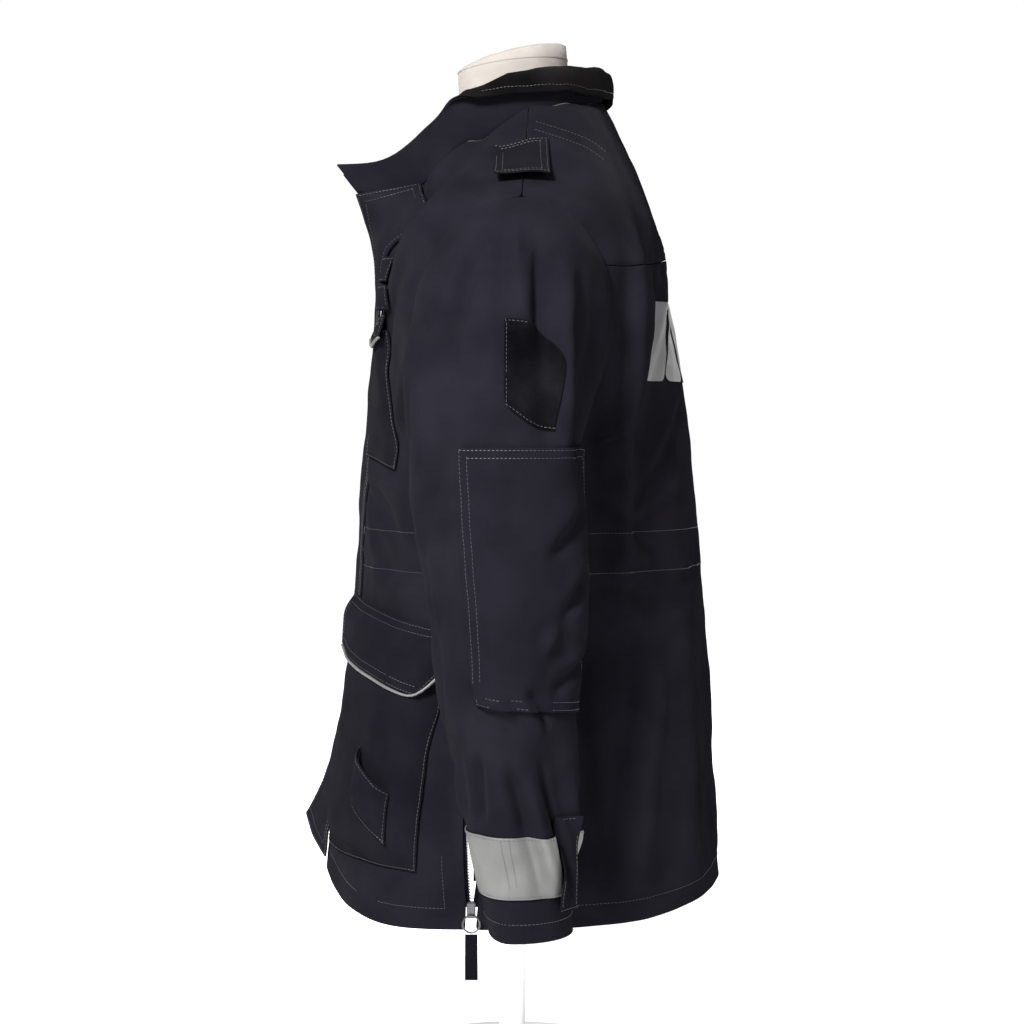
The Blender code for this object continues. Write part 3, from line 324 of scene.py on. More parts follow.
def cut_outlines(item, place_on):
    """The edge loops of the wall's outer sheet, as (point, normal), before it is smoothed."""
    mesh = item.data
    narrow = set()
    for face in mesh.polygons:
        longest = max((mesh.vertices[a].co - mesh.vertices[b].co).length
                      for a, b in face.edge_keys)
        if face.area / longest < RIM_WIDTH:
            narrow.add(face.index)
    by_edge = {}
    for face in mesh.polygons:
        if face.index not in narrow:
            for key in face.edge_keys:
                by_edge.setdefault(key, []).append(face.index)
    sheet = {}
    groups = []
    for face in mesh.polygons:
        if face.index in narrow or face.index in sheet:
            continue
        group, waiting = [], [face.index]
        sheet[face.index] = len(groups)
        while waiting:
            now = waiting.pop()
            group.append(now)
            for key in mesh.polygons[now].edge_keys:
                for other in by_edge[key]:
                    if other not in sheet:
                        sheet[other] = len(groups)
                        waiting.append(other)
        groups.append(group)
    best, loops = (0.0, []), []
    for group in groups:
        centres = np.array([mesh.polygons[index].center for index in group])
        facing = np.array([mesh.polygons[index].normal * mesh.polygons[index].area
                           for index in group])
        outward = float(np.sum(place_on(centres)[2] * facing))
        if outward > best[0]:
            best = (outward, group)
    chosen = set(best[1])
    facing = {}
    for index in chosen:
        face = mesh.polygons[index]
        for corner in face.vertices:
            facing[corner] = facing.get(corner, Vector()) + face.normal * face.area
    border = {}
    for key, owners in by_edge.items():
        if sum(owner in chosen for owner in owners) == 1:
            border.setdefault(key[0], []).append(key[1])
            border.setdefault(key[1], []).append(key[0])
    while border:
        start = next(iter(border))
        loop, now = [start], start
        while border.get(now):
            following = border[now].pop()
            if following in border:
                border[following] = [v for v in border[following] if v != now]
            loop.append(following)
            now = following
            if now == start:
                break
        border = {key: value for key, value in border.items() if value}
        if len(loop) > 3:
            loops.append([(mesh.vertices[index].co.copy(), facing[index].normalized())
                          for index in loop])
    return loops


outlines = {}


def make_cloth(node, levels, on_sleeve=False):
    """A creased piece of cloth in place of a node."""
    item = copied_wall("cloth_" + node, node)
    outlines[node] = cut_outlines(item, sleeve_places if on_sleeve else body_places)
    keep_cut_edges(item)
    round_off(item, levels)
    points = points_of(item)
    set_points(item, points + (sleeve_lift(points) if on_sleeve else body_lift(points)))
    lay_weave(item, on_sleeve)
    return item


# %% [markdown]
# ## Which piece is which
#
# The body's panels and all that is sewn on them share the body's creases, so that a pocket never
# sinks into the front below it. The same holds for a sleeve and its patches.

# %% Make every piece of cloth
BODY_CLOTH = {
    "front_left": 3, "front_right": 3, "back_panel": 3, "back_yoke": 2, "storm_flap": 3,
    "front_zip_tape_left": 2, "front_zip_tape_right": 2,
    "chest_pocket_left": 3, "chest_pocket_right": 3, "chest_flap_left": 3, "chest_flap_right": 3,
    "lower_pocket_left": 2, "lower_pocket_right": 2, "lower_flap_left": 3, "lower_flap_right": 3,
    "small_pocket_left": 3, "small_pocket_right": 3,
    "chest_piping_left": 2, "chest_piping_right": 2,
    "lower_piping_left": 2, "lower_piping_right": 2,
    "chest_loop_upper_left": 3, "chest_loop_upper_right": 3,
    "chest_loop_lower_left": 3, "chest_loop_lower_right": 3,
    "epaulette_left": 3, "epaulette_right": 3,
    "side_zip_front_tape_left": 2, "side_zip_front_tape_right": 2,
    "side_zip_back_tape_left": 2, "side_zip_back_tape_right": 2,
    "collar_shell": 2, "collar_fleece": 2,
}
SLEEVE_CLOTH = {
    "sleeve_left": 3, "sleeve_right": 3, "elbow_patch_left": 3, "elbow_patch_right": 3,
    "sleeve_hook_patch_left": 3, "sleeve_hook_patch_right": 3,
    "cuff_band_left": 3, "cuff_band_right": 3, "cuff_tab_left": 3, "cuff_tab_right": 3,
}
LINED = ("front_left", "front_right", "back_panel", "back_yoke", "sleeve_left", "sleeve_right")
cloth = {}
for node, levels in BODY_CLOTH.items():
    cloth[node] = make_cloth(node, levels)
for node, levels in SLEEVE_CLOTH.items():
    cloth[node] = make_cloth(node, levels, on_sleeve=True)
total = sum(len(item.data.polygons) * 2 for item in cloth.values())
print("pieces of cloth:", len(cloth), "triangles:", total)
for node, item in cloth.items():
    if len(item.data.polygons) > 30000:
        print("  ", node, len(item.data.polygons) * 2)

# %% [markdown]
# ## The storm flap's seam
#
# The flap over the front zip is sewn down along its left edge and stands free at the other. Its
# solid keeps a small gap along the seam, which would show as a slit from the side, so the
# creased copy is pressed onto the front there.

# %% Press the flap's seam onto the front
SEAM_TURN, SEAM_RUN = 14.0, 6.0      # degrees: where it is pressed fully, and how wide the slope is
SEAM_BOTTOM, SEAM_TOP, SEAM_FADE = 0.28, 0.72, 0.04
SEAM_DROP = 0.0017


def pressed_seam(points):
    """Inward move of the flap's points beside its seam."""
    turn, height, out = body_places(points)
    near = np.clip((turn - SEAM_TURN + SEAM_RUN) / SEAM_RUN, 0.0, 1.0)
    level = np.clip(np.minimum(height - SEAM_BOTTOM, SEAM_TOP - height) / SEAM_FADE, 0.0, 1.0)
    share = near * near * (3.0 - 2.0 * near) * level
    return -out * (SEAM_DROP * share)[:, None]


flap_points = points_of(cloth["storm_flap"])
set_points(cloth["storm_flap"], flap_points + pressed_seam(flap_points))
print("flap points pressed down:", int((np.abs(pressed_seam(flap_points)).sum(axis=1) > 0.0).sum()))

# %% [markdown]
# ## Finishes
#
# The shell is a dull navy twill that scatters a little light off its raised fibres, so it has
# sheen and a fine diagonal weave. The weave's height comes from one node group, with its own
# size in each finish. Each number that is the same all over is set on the shader itself.

# %% Node group for a weave
def new_group(name, inputs, outputs):
    """A shader node group with float inputs and outputs."""
    group = bpy.data.node_groups.new(name, "ShaderNodeTree")
    for label in inputs:
        group.interface.new_socket(label, in_out="INPUT", socket_type="NodeSocketFloat")
    for label in outputs:
        group.interface.new_socket(label, in_out="OUTPUT", socket_type="NodeSocketFloat")
    return group, group.nodes.new("NodeGroupInput"), group.nodes.new("NodeGroupOutput")


weave_group, weave_in, weave_out = new_group("cloth_weave", ("Twill", "Slub"), ("Height", "Wear"))
weave_map = weave_group.nodes.new("ShaderNodeUVMap")
weave_map.uv_map = "weave"
place = weave_group.nodes.new("ShaderNodeTexCoord")
twill = weave_group.nodes.new("ShaderNodeTexWave")
twill.wave_type = "BANDS"
twill.bands_direction = "DIAGONAL"
twill.inputs["Distortion"].default_value = 0.6
twill.inputs["Detail"].default_value = 1.0
slub = weave_group.nodes.new("ShaderNodeTexNoise")
slub.inputs["Detail"].default_value = 3.0
wear = weave_group.nodes.new("ShaderNodeTexNoise")
wear.inputs["Scale"].default_value = 22.0
wear.inputs["Detail"].default_value = 4.0
mix = weave_group.nodes.new("ShaderNodeMath")
mix.operation = "MULTIPLY_ADD"
mix.inputs[1].default_value = 0.6
link = weave_group.links.new
link(weave_map.outputs["UV"], twill.inputs["Vector"])
link(weave_in.outputs["Twill"], twill.inputs["Scale"])
link(place.outputs["Object"], slub.inputs["Vector"])
link(weave_in.outputs["Slub"], slub.inputs["Scale"])
link(place.outputs["Object"], wear.inputs["Vector"])
link(slub.outputs["Fac"], mix.inputs[0])
link(twill.outputs["Fac"], mix.inputs[2])
link(mix.outputs["Value"], weave_out.inputs["Height"])
link(wear.outputs["Fac"], weave_out.inputs["Wear"])
print("weave group made")


# %% [markdown]
# ## One finish for each material
#
# `woven` mixes two shades of a cloth by slow uneven patches, and lets the weave's height bend
# the light. Pile, reflective tape and linen differ only in their numbers.
# `plain` is for metal, thread and the floor, which have a faint grain and no weave.

# %% Cloth and metal finishes
def woven(name, dark, light, twill_scale, slub_scale, bump, roughness=0.8, sheen=0.004,
          gloss=0.0):
    """A woven finish: two near colours that wear mixes, a weave and a little sheen."""
    material = bpy.data.materials.new(name)
    material.use_nodes = True
    tree = material.node_tree
    shader = tree.nodes["Principled BSDF"]
    shader.inputs["Roughness"].default_value = roughness
    shader.inputs["Sheen Weight"].default_value = sheen
    shader.inputs["Sheen Roughness"].default_value = 0.45
    shader.inputs["Specular IOR Level"].default_value = gloss
    weave = tree.nodes.new("ShaderNodeGroup")
    weave.node_tree = weave_group
    weave.inputs["Twill"].default_value = twill_scale
    weave.inputs["Slub"].default_value = slub_scale
    ramp = tree.nodes.new("ShaderNodeValToRGB")
    ramp.color_ramp.elements[0].position = 0.35
    ramp.color_ramp.elements[0].color = (*dark, 1.0)
    ramp.color_ramp.elements[1].position = 0.70
    ramp.color_ramp.elements[1].color = (*light, 1.0)
    relief = tree.nodes.new("ShaderNodeBump")
    relief.inputs["Strength"].default_value = bump
    relief.inputs["Distance"].default_value = 0.0004
    tree.links.new(weave.outputs["Wear"], ramp.inputs["Fac"])
    tree.links.new(ramp.outputs["Color"], shader.inputs["Base Color"])
    tree.links.new(weave.outputs["Height"], relief.inputs["Height"])
    tree.links.new(relief.outputs["Normal"], shader.inputs["Normal"])
    return material


def plain(name, colour, roughness, metallic=0.0):
    """A finish with one colour and a faint grain."""
    material = bpy.data.materials.new(name)
    material.use_nodes = True
    tree = material.node_tree
    shader = tree.nodes["Principled BSDF"]
    shader.inputs["Base Color"].default_value = (*colour, 1.0)
    shader.inputs["Metallic"].default_value = metallic
    place = tree.nodes.new("ShaderNodeTexCoord")
    grain = tree.nodes.new("ShaderNodeTexNoise")
    grain.inputs["Scale"].default_value = 900.0
    spread = tree.nodes.new("ShaderNodeMapRange")
    spread.inputs["To Min"].default_value = roughness - 0.06
    spread.inputs["To Max"].default_value = roughness + 0.06
    tree.links.new(place.outputs["Object"], grain.inputs["Vector"])
    tree.links.new(grain.outputs["Fac"], spread.inputs["Value"])
    tree.links.new(spread.outputs["Result"], shader.inputs["Roughness"])
    return material


finishes = {
    "shell_cloth": woven("navy_twill", (0.0033, 0.0031, 0.0045), (0.0048, 0.0045, 0.0063),
                         900.0, 700.0, 0.35),
    "patch_cloth": woven("navy_patch", (0.0032, 0.0030, 0.0044), (0.0046, 0.0043, 0.0061),
                         700.0, 900.0, 0.45),
    "pocket_cloth": woven("navy_pocket", (0.0025, 0.0024, 0.0035), (0.0038, 0.0036, 0.0051),
                          900.0, 700.0, 0.35),
    "hook_and_loop": woven("black_loop_pile", (0.0009, 0.0009, 0.0012), (0.0034, 0.0033, 0.0040),
                           260.0, 1400.0, 1.0, 0.95),
    "reflective_tape": woven("silver_bead_tape", (0.038, 0.038, 0.0375), (0.058, 0.058, 0.057),
                             1400.0, 2400.0, 0.25, 0.45, 0.0, 0.30),
    "reflective_piping": woven("silver_piping", (0.036, 0.036, 0.0355), (0.052, 0.052, 0.0515),
                               1400.0, 2400.0, 0.2, 0.45, 0.0, 0.30),
    "fleece": woven("dark_fleece", (0.0011, 0.0010, 0.0010), (0.0036, 0.0031, 0.0031),
                    300.0, 620.0, 1.0, 0.95, 0.012),
    "zip_tape": woven("black_tape", (0.0016, 0.0016, 0.0022), (0.0030, 0.0030, 0.0038),
                      1500.0, 900.0, 0.4),
    "pull_webbing": woven("black_webbing", (0.0014, 0.0014, 0.0020), (0.0028, 0.0028, 0.0038),
                          1100.0, 900.0, 0.6),
    "form_linen": woven("cream_linen", (0.131, 0.119, 0.109), (0.157, 0.144, 0.133),
                        1200.0, 500.0, 0.35, 0.85, 0.05),
    "zip_metal": plain("dark_nickel", (0.06, 0.06, 0.065), 0.38, 1.0),
    "stand_steel": plain("satin_steel", (0.55, 0.55, 0.56), 0.34, 1.0),
}
lining = woven("brown_lining", (0.0040, 0.0026, 0.0018), (0.0100, 0.0060, 0.0036),
               1300.0, 900.0, 0.3)
bright_metal = plain("nickel_teeth", (0.42, 0.42, 0.42), 0.35, 1.0)
print("finishes:", len(finishes))

# %% [markdown]
# ## Finding places on the finished cloth
#
# Seams, stitches and trims lie on the creased cloth, so their points are found by a ray that
# meets it. Where the side view shows a line, its points are places in that view, 1024 wide, and
# the ray comes from the camera; the other side takes the same ray in a mirror. Elsewhere a
# point is an angle and a height, and the ray comes from outside towards the middle.

# %% Rays from the camera and from all round
CAMERA_PLACE = Vector((2.0, 0.0, 0.62))
CAMERA_AIM = Vector((0.0, 0.0, 0.533))
LENS, SENSOR = 74.0, 36.0
VIEW_WIDTH = 1024
view_forward = (CAMERA_AIM - CAMERA_PLACE).normalized()
view_right = Vector((0.0, 1.0, 0.0))
view_up = view_right.cross(view_forward)


def surface_of(names):
    """A search tree over the finished cloth of some nodes."""
    corners, faces, start = [], [], 0
    for name in names:
        mesh = cloth[name].data
        corners.extend(v.co.copy() for v in mesh.vertices)
        faces.extend(tuple(i + start for i in face.vertices) for face in mesh.polygons)
        start = len(corners)
    return BVHTree.FromPolygons(corners, faces)


def seen_at(tree, column, row, side):
    """Where the view's ray through a place meets the cloth, on the left or, mirrored, right."""
    focal = LENS / SENSOR * VIEW_WIDTH
    way = view_forward * focal + view_right * (column - 512) + view_up * (512 - row)
    start = CAMERA_PLACE.copy()
    if side < 0:
        start.x, way.x = -start.x, -way.x
    place, normal, _, _ = tree.ray_cast(start, way.normalized())
    return (place, normal) if place is not None else None


def body_at(tree, turn, height, side=1):
    """The outer face of the body at an angle and a height."""
    angle = math.radians(turn)
    out = Vector((math.sin(angle) * BODY_HALF_WIDTH, -math.cos(angle) * BODY_HALF_DEPTH, 0.0))
    out.x *= side
    start = Vector((0.0, BODY_MIDDLE_Y, height)) + out * 2.5
    place, normal, _, _ = tree.ray_cast(start, -out.normalized())
    return (place, normal) if place is not None else None


def sleeve_at(tree, turn, height, side=1):
    """The outer face of a sleeve at an angle and a height."""
    angle = math.radians(turn)
    middle = Vector((float(np.interp(height, SLEEVE_HEIGHTS, SLEEVE_MIDDLE_X)) * side,
                     float(np.interp(height, SLEEVE_HEIGHTS, SLEEVE_MIDDLE_Y)), height))
    out = Vector((-math.cos(angle) * side, -math.sin(angle), 0.0))
    place, normal, _, _ = tree.ray_cast(middle + out * 0.14, -out)
    return (place, normal) if place is not None else None


def line_between(points, spacing):
    """Points along a smooth line through a few places, about evenly spaced."""
    places = [np.array(p, float) for p in points]
    dense = []
    for number in range(len(places) - 1):
        before = places[max(number - 1, 0)]
        first, second = places[number], places[number + 1]
        after = places[min(number + 2, len(places) - 1)]
        count = max(int(np.linalg.norm(second - first) / spacing), 1)
        for step in range(count):
            t = step / count
            dense.append(0.5 * (2 * first + (second - before) * t
                                + (2 * before - 5 * first + 4 * second - after) * t * t
                                + (3 * first - before - 3 * second + after) * t ** 3))
    dense.append(places[-1])
    return dense


def drawn_on(tree, find, points, side, spacing):
    """A line of (place, normal) on the cloth, without the points whose ray meets nothing."""
    found = [find(tree, point[0], point[1], side) for point in line_between(points, spacing)]
    return [hit for hit in found if hit is not None]


print("camera lens in pixels:", round(LENS / SENSOR * VIEW_WIDTH))

# %% [markdown]
# ## Stitches
#
# A stitch is a short thread that dips into the cloth at both ends. One is modelled from a
# primitive and copied along every seam, 3 mm apart. The thread is a shade off the cloth, as in
# the photo, so the seams read as fine dotted lines.

# %% One stitch, and copies of it along lines
STITCH_LENGTH, STITCH_THICK, STITCH_STEP = 0.0026, 0.00055, 0.0034

deselect_all()
bpy.ops.mesh.primitive_uv_sphere_add(segments=5, ring_count=3, radius=0.5,
                                     rotation=(0.0, math.pi / 2.0, 0.0))
stitch = bpy.context.object
stitch.name = "one_stitch"
bpy.ops.object.transform_apply(location=False, rotation=True, scale=False)
bpy.ops.object.mode_set(mode="EDIT")
bpy.ops.transform.resize(value=(STITCH_LENGTH, STITCH_THICK, STITCH_THICK),
                         center_override=(0.0, 0.0, 0.0))
bpy.ops.object.mode_set(mode="OBJECT")
stitch_points = points_of(stitch)
stitch_faces = [tuple(face.vertices) for face in stitch.data.polygons]
bpy.data.objects.remove(stitch)


def copies_of(name, points, faces, places):
    """One mesh of many copies of a small shape, each turned along its line."""
    count = len(points)
    corners, all_faces = [], []
    for number, (place, along, normal) in enumerate(places):
        across = normal.cross(along).normalized()
        turned = np.array([along, across, normal])
        corners.append(points @ turned + np.array(place))
        all_faces.extend(tuple(i + number * count for i in face) for face in faces)
    mesh = bpy.data.meshes.new(name)
    mesh.from_pydata(np.concatenate(corners).tolist(), [], all_faces)
    item = bpy.data.objects.new(name, mesh)
    bpy.context.scene.collection.objects.link(item)
    return item


def stitch_places(line, offset=0.0, lift=0.0002):
    """Evenly spaced places for stitches along a line, moved sideways by an offset."""
    moved = []
    for number, (place, normal) in enumerate(line):
        before = line[max(number - 1, 0)][0]
        after = line[min(number + 1, len(line) - 1)][0]
        along = (after - before)
        if along.length < 1e-7:
            continue
        across = normal.cross(along.normalized())
        moved.append((place + across * offset + normal * lift, normal))
    places, left = [], 0.0
    for (a, normal), (b, _) in zip(moved, moved[1:]):
        gap = (b - a).length
        if gap < 1e-7 or gap > 0.02:
            continue
        along = (b - a) / gap
        while left < gap:
            flat = (along - normal * along.dot(normal)).normalized()
            places.append((a + along * left, flat, normal))
            left += STITCH_STEP
        left -= gap
    return places


print("faces of a stitch:", len(stitch_faces))

# %% [markdown]
# ## Welts
#
# A sewn seam isn't a drawn line: its allowance makes a flat ridge about 8 mm wide beside it. A
# welt is a narrow strip that follows the cloth and stands a little proud of it, with a rounded
# top. Only the seam of the form's cap is made as one.

# %% A welt along a line
def welt_mesh(name, lines, width, height):
    """Strips with a low rounded section along lines of (place, normal)."""
    section = ((-0.5, -0.6), (-0.42, 0.75), (0.0, 1.0), (0.42, 0.75), (0.5, -0.6))
    corners, faces = [], []
    for line in lines:
        start = len(corners)
        for number, (place, normal) in enumerate(line):
            before = line[max(number - 1, 0)][0]
            after = line[min(number + 1, len(line) - 1)][0]
            along = (after - before).normalized()
            across = normal.cross(along).normalized()
            for side, up in section:
                corners.append(place + across * (side * width) + normal * (up * height))
        size = len(section)
        for number in range(len(line) - 1):
            low = start + number * size
            for side in range(size):
                following = (side + 1) % size
                faces.append((low + side, low + size + side,
                              low + size + following, low + following))
        faces.append(tuple(start + side for side in range(size)))
        faces.append(tuple(len(corners) - 1 - side for side in range(size)))
    mesh = bpy.data.meshes.new(name)
    mesh.from_pydata([tuple(c) for c in corners], [], faces)
    item = bpy.data.objects.new(name, mesh)
    bpy.context.scene.collection.objects.link(item)
    pick(item)
    bpy.ops.object.mode_set(mode="EDIT")
    bpy.ops.mesh.select_all(action="SELECT")
    bpy.ops.mesh.normals_make_consistent(inside=False)
    bpy.ops.object.mode_set(mode="OBJECT")
    bpy.ops.object.shade_smooth_by_angle(angle=math.radians(50))
    return item


# %% [markdown]
# ## Topstitching along the edges
#
# A maker turns each edge in and sews along it, once or twice, at an even distance. The outline
# of each cut piece was kept before it was smoothed. It is moved in by the distance of the
# stitching, laid back on the creased cloth, and stitched. Stretches that would run across
# another edge at a corner are left out.

# %% Stitch lines at a distance from the edges
def moved_loop(loop, on_sleeve):
    """A loop of an outline with a point every 4 mm, moved by the creases."""
    dense, facing = [], []
    for (a, a_normal), (b, b_normal) in zip(loop, loop[1:]):
        count = max(int((b - a).length / 0.004), 1)
        for step in range(count):
            dense.append(a.lerp(b, step / count))
            facing.append(a_normal.lerp(b_normal, step / count).normalized())
    points = np.array(dense)
    moved = points + (sleeve_lift(points) if on_sleeve else body_lift(points))
    return [Vector(point) for point in moved], facing


def inset_lines(node, distance, on_sleeve, keep):
    """Lines on the cloth at a distance inside a piece's edges, where keep(point) is true."""
    tree = surface_of([node])
    lines = []
    for loop in outlines[node]:
        moved, facing = moved_loop(loop, on_sleeve)
        all_points = np.array(moved)
        count = len(moved)
        tries = {1.0: [], -1.0: []}
        for number in range(count):
            along = (moved[(number + 1) % count] - moved[number - 1]).normalized()
            across = facing[number].cross(along).normalized()
            for sign, hits in tries.items():
                wanted = moved[number] + across * (sign * distance) + facing[number] * 0.0005
                near, normal, _, miss = tree.find_nearest(wanted)
                hits.append((near, normal, miss))
        chosen = min(tries.values(), key=lambda hits: sum(hit[2] for hit in hits))
        line = []
        for number, (near, normal, miss) in enumerate(chosen):
            nearest = np.min(np.linalg.norm(all_points - np.array(near), axis=1))
            good = (miss < 0.0030 and nearest > distance * 0.85 and keep(near)
                    and normal.dot(facing[number]) > 0.3)
            if good and (not line or (near - line[-1][0]).length < 0.016):
                line.append((near, normal))
            else:
                if len(line) > 2:
                    lines.append(line)
                line = [(near, normal)] if good else []
        if len(line) > 2:
            lines.append(line)
    return lines


def everywhere(point):
    """Keep the whole outline."""
    return True


STITCHED_BODY = {
    "storm_flap": (0.0020, 0.0085), "chest_pocket": (0.0020,), "chest_flap": (0.0020, 0.0080),
    "lower_pocket": (0.0020,), "lower_flap": (0.0020, 0.0085), "small_pocket": (0.0020,),
    "chest_loop_upper": (0.0018,), "chest_loop_lower": (0.0018,), "epaulette": (0.0020, 0.0075),
}
STITCHED_SLEEVE = {
    "elbow_patch": (0.0022, 0.0085), "sleeve_hook_patch": (0.0018,), "cuff_band": (0.0020,),
    "cuff_tab": (0.0020,),
}
thread_places = []
for table_of, on_sleeve in ((STITCHED_BODY, False), (STITCHED_SLEEVE, True)):
    for piece, distances in table_of.items():
        for node in [name for name in cloth if name == piece or name.startswith(piece + "_")]:
            for distance in distances:
                for line in inset_lines(node, distance, on_sleeve, everywhere):
                    thread_places.extend(stitch_places(line))
for node in ("front_left", "front_right", "back_panel"):
    for line in inset_lines(node, 0.019, False, lambda point: point.z < 0.262):
        thread_places.extend(stitch_places(line))
for node in ("sleeve_left", "sleeve_right"):
    for line in inset_lines(node, 0.016, True, lambda point: point.z < 0.215):
        thread_places.extend(stitch_places(line))
for node, distance in (("collar_fleece", 0.0060), ("collar_shell", 0.0060)):
    for line in inset_lines(node, distance, False, everywhere):
        thread_places.extend(stitch_places(line))
print("stitches along edges:", len(thread_places))

# %% [markdown]
# ## Stitch lines across the panels
#
# A channel for a draw cord runs round the waist between two rows of stitches. Two short rows
# cross the back of the shoulder, and the cuff bands have an upright seam with a row each side.

# %% Rows round the waist, over the shoulders and up the bands
WAIST_ROWS = (0.522, 0.487)
SHOULDER_ROWS = (
    ((537, 122), (566, 131), (589, 140), (606, 152)),
    ((536, 130), (564, 139), (587, 148), (604, 160)),
)
BAND_ROWS = (((498, 832), (510, 889)), ((507, 831), (517, 888)))
back_tree = surface_of(["back_panel"])
yoke_tree = surface_of(["back_yoke"])
for side in (1, -1):
    front_tree = surface_of(["front_left" if side > 0 else "front_right"])
    band_tree = surface_of(["cuff_band_left" if side > 0 else "cuff_band_right"])
    for height in WAIST_ROWS:
        front_row = [(turn, height) for turn in (18, 34, 50, 66, 84)]
        back_row = [(turn, height) for turn in (96, 118, 140, 160, 180)]
        thread_places.extend(stitch_places(drawn_on(front_tree, body_at, front_row, side, 1.0)))
        thread_places.extend(stitch_places(drawn_on(back_tree, body_at, back_row, side, 1.0)))
    for row in SHOULDER_ROWS:
        thread_places.extend(stitch_places(drawn_on(yoke_tree, seen_at, row, side, 3.0)))
    for row in BAND_ROWS:
        thread_places.extend(stitch_places(drawn_on(band_tree, seen_at, row, side, 3.0)))
print("stitches in all:", len(thread_places))

# %% [markdown]
# ## Zip teeth
#
# Both edges of each open side vent carry a row of metal teeth, and so do the two tapes behind
# the front. A tooth is a small block clamped on its tape's edge, one every 2.5 mm; the right
# row is half a step higher, so that closed rows mesh.

# %% Teeth along the tapes' free edges
TOOTH, TOOTH_STEP = (0.0011, 0.0034, 0.0021), 0.0025
TOOTH_REACH = 0.0008

deselect_all()
bpy.ops.mesh.primitive_cube_add(size=1.0)
tooth = bpy.context.object
tooth.name = "one_tooth"
bpy.ops.object.mode_set(mode="EDIT")
bpy.ops.transform.resize(value=TOOTH, center_override=(0.0, 0.0, 0.0))
bpy.ops.object.mode_set(mode="OBJECT")
tooth_points = points_of(tooth)
tooth_faces = [tuple(face.vertices) for face in tooth.data.polygons]
bpy.data.objects.remove(tooth)


def free_edge(node, wanted_turn):
    """The long edge of a tape that lies nearest an angle, from its bottom to its top."""
    rows = {}
    for point, normal in outlines[node][0]:
        turn = float(body_places(np.array([point]))[0][0])
        away = abs(abs(turn) - wanted_turn)
        row = round(point.z / 0.006)
        if row not in rows or away < rows[row][0]:
            rows[row] = (away, point, normal)
    chosen = [rows[row] for row in sorted(rows)]
    points = np.array([point for _, point, _ in chosen])
    moved = points + body_lift(points)
    return [(Vector(p), normal) for p, (_, _, normal) in zip(moved, chosen)]


def tooth_places(line, towards, start):
    """Evenly spaced places along a line, moved a little towards a point's side."""
    places, left = [], start
    for (a, normal), (b, _) in zip(line, line[1:]):
        gap = (b - a).length
        along = (b - a) / gap
        flat = (normal - along * normal.dot(along)).normalized()
        across = flat.cross(along)
        if across.dot(towards) < 0.0:
            across = -across
        while left < gap:
            places.append((a + along * left + across * TOOTH_REACH, along, flat))
            left += TOOTH_STEP
        left -= gap
    return places


teeth = []
for side, sign in (("left", 1.0), ("right", -1.0)):
    back = Vector((0.0, 1.0, 0.0))
    teeth += tooth_places(free_edge("side_zip_front_tape_" + side, 90.0), back, 0.0)
    teeth += tooth_places(free_edge("side_zip_back_tape_" + side, 90.0), -back, 0.00125)
    middle = Vector((-sign, 0.0, 0.0))
    teeth += tooth_places(free_edge("front_zip_tape_" + side, 0.0), middle,
                          0.0 if sign > 0 else 0.00125)
print("zip teeth:", len(teeth))

# %% [markdown]
# ## Riding, replacing and dressing
#
# Every piece rides on its body of the model and stands for its node. What isn't cloth, such as
# the sliders and the stand, keeps its node and only gets a finish.

# %% Hand each piece its node, its body and its finish
def line_inside(item, place_on):
    """Give the inner faces of a wall the lining's finish."""
    count = len(item.data.polygons)
    centres = np.zeros(count * 3, np.float32)
    normals = np.zeros(count * 3, np.float32)
    item.data.polygons.foreach_get("center", centres)
    item.data.polygons.foreach_get("normal", normals)
    outward = place_on(centres.reshape(-1, 3).astype(float))[2]
    inside = np.sum(outward * normals.reshape(-1, 3), axis=1) < -0.2
    item.data.materials.append(lining)
    item.data.polygons.foreach_set("material_index", inside.astype(np.int32))


slots = {row["node"]: row["material_slot"] for row in frame["record"]["subparts"]}
for node, item in cloth.items():
    item.data.materials.append(finishes[slots[node]])
    if node in LINED:
        line_inside(item, sleeve_places if node.startswith("sleeve") else body_places)
    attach(item, "jacket")
    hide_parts(node)
for node, item in nodes.items():
    if node not in cloth and node != "dress_form":
        item.data.materials.clear()
        item.data.materials.append(finishes[slots[node]])
print("nodes kept as they are:", len(nodes) - len(cloth) - 1)

# %% [markdown]
# ## How each sheet was cut
#
# Width, length and area of the cut before it was sewn, in metres, for one of a pair. The body
# and the sleeves hang from the form. A patch or pocket is laid on its panel, and its cut counts
# what shows, without turned-in edges.

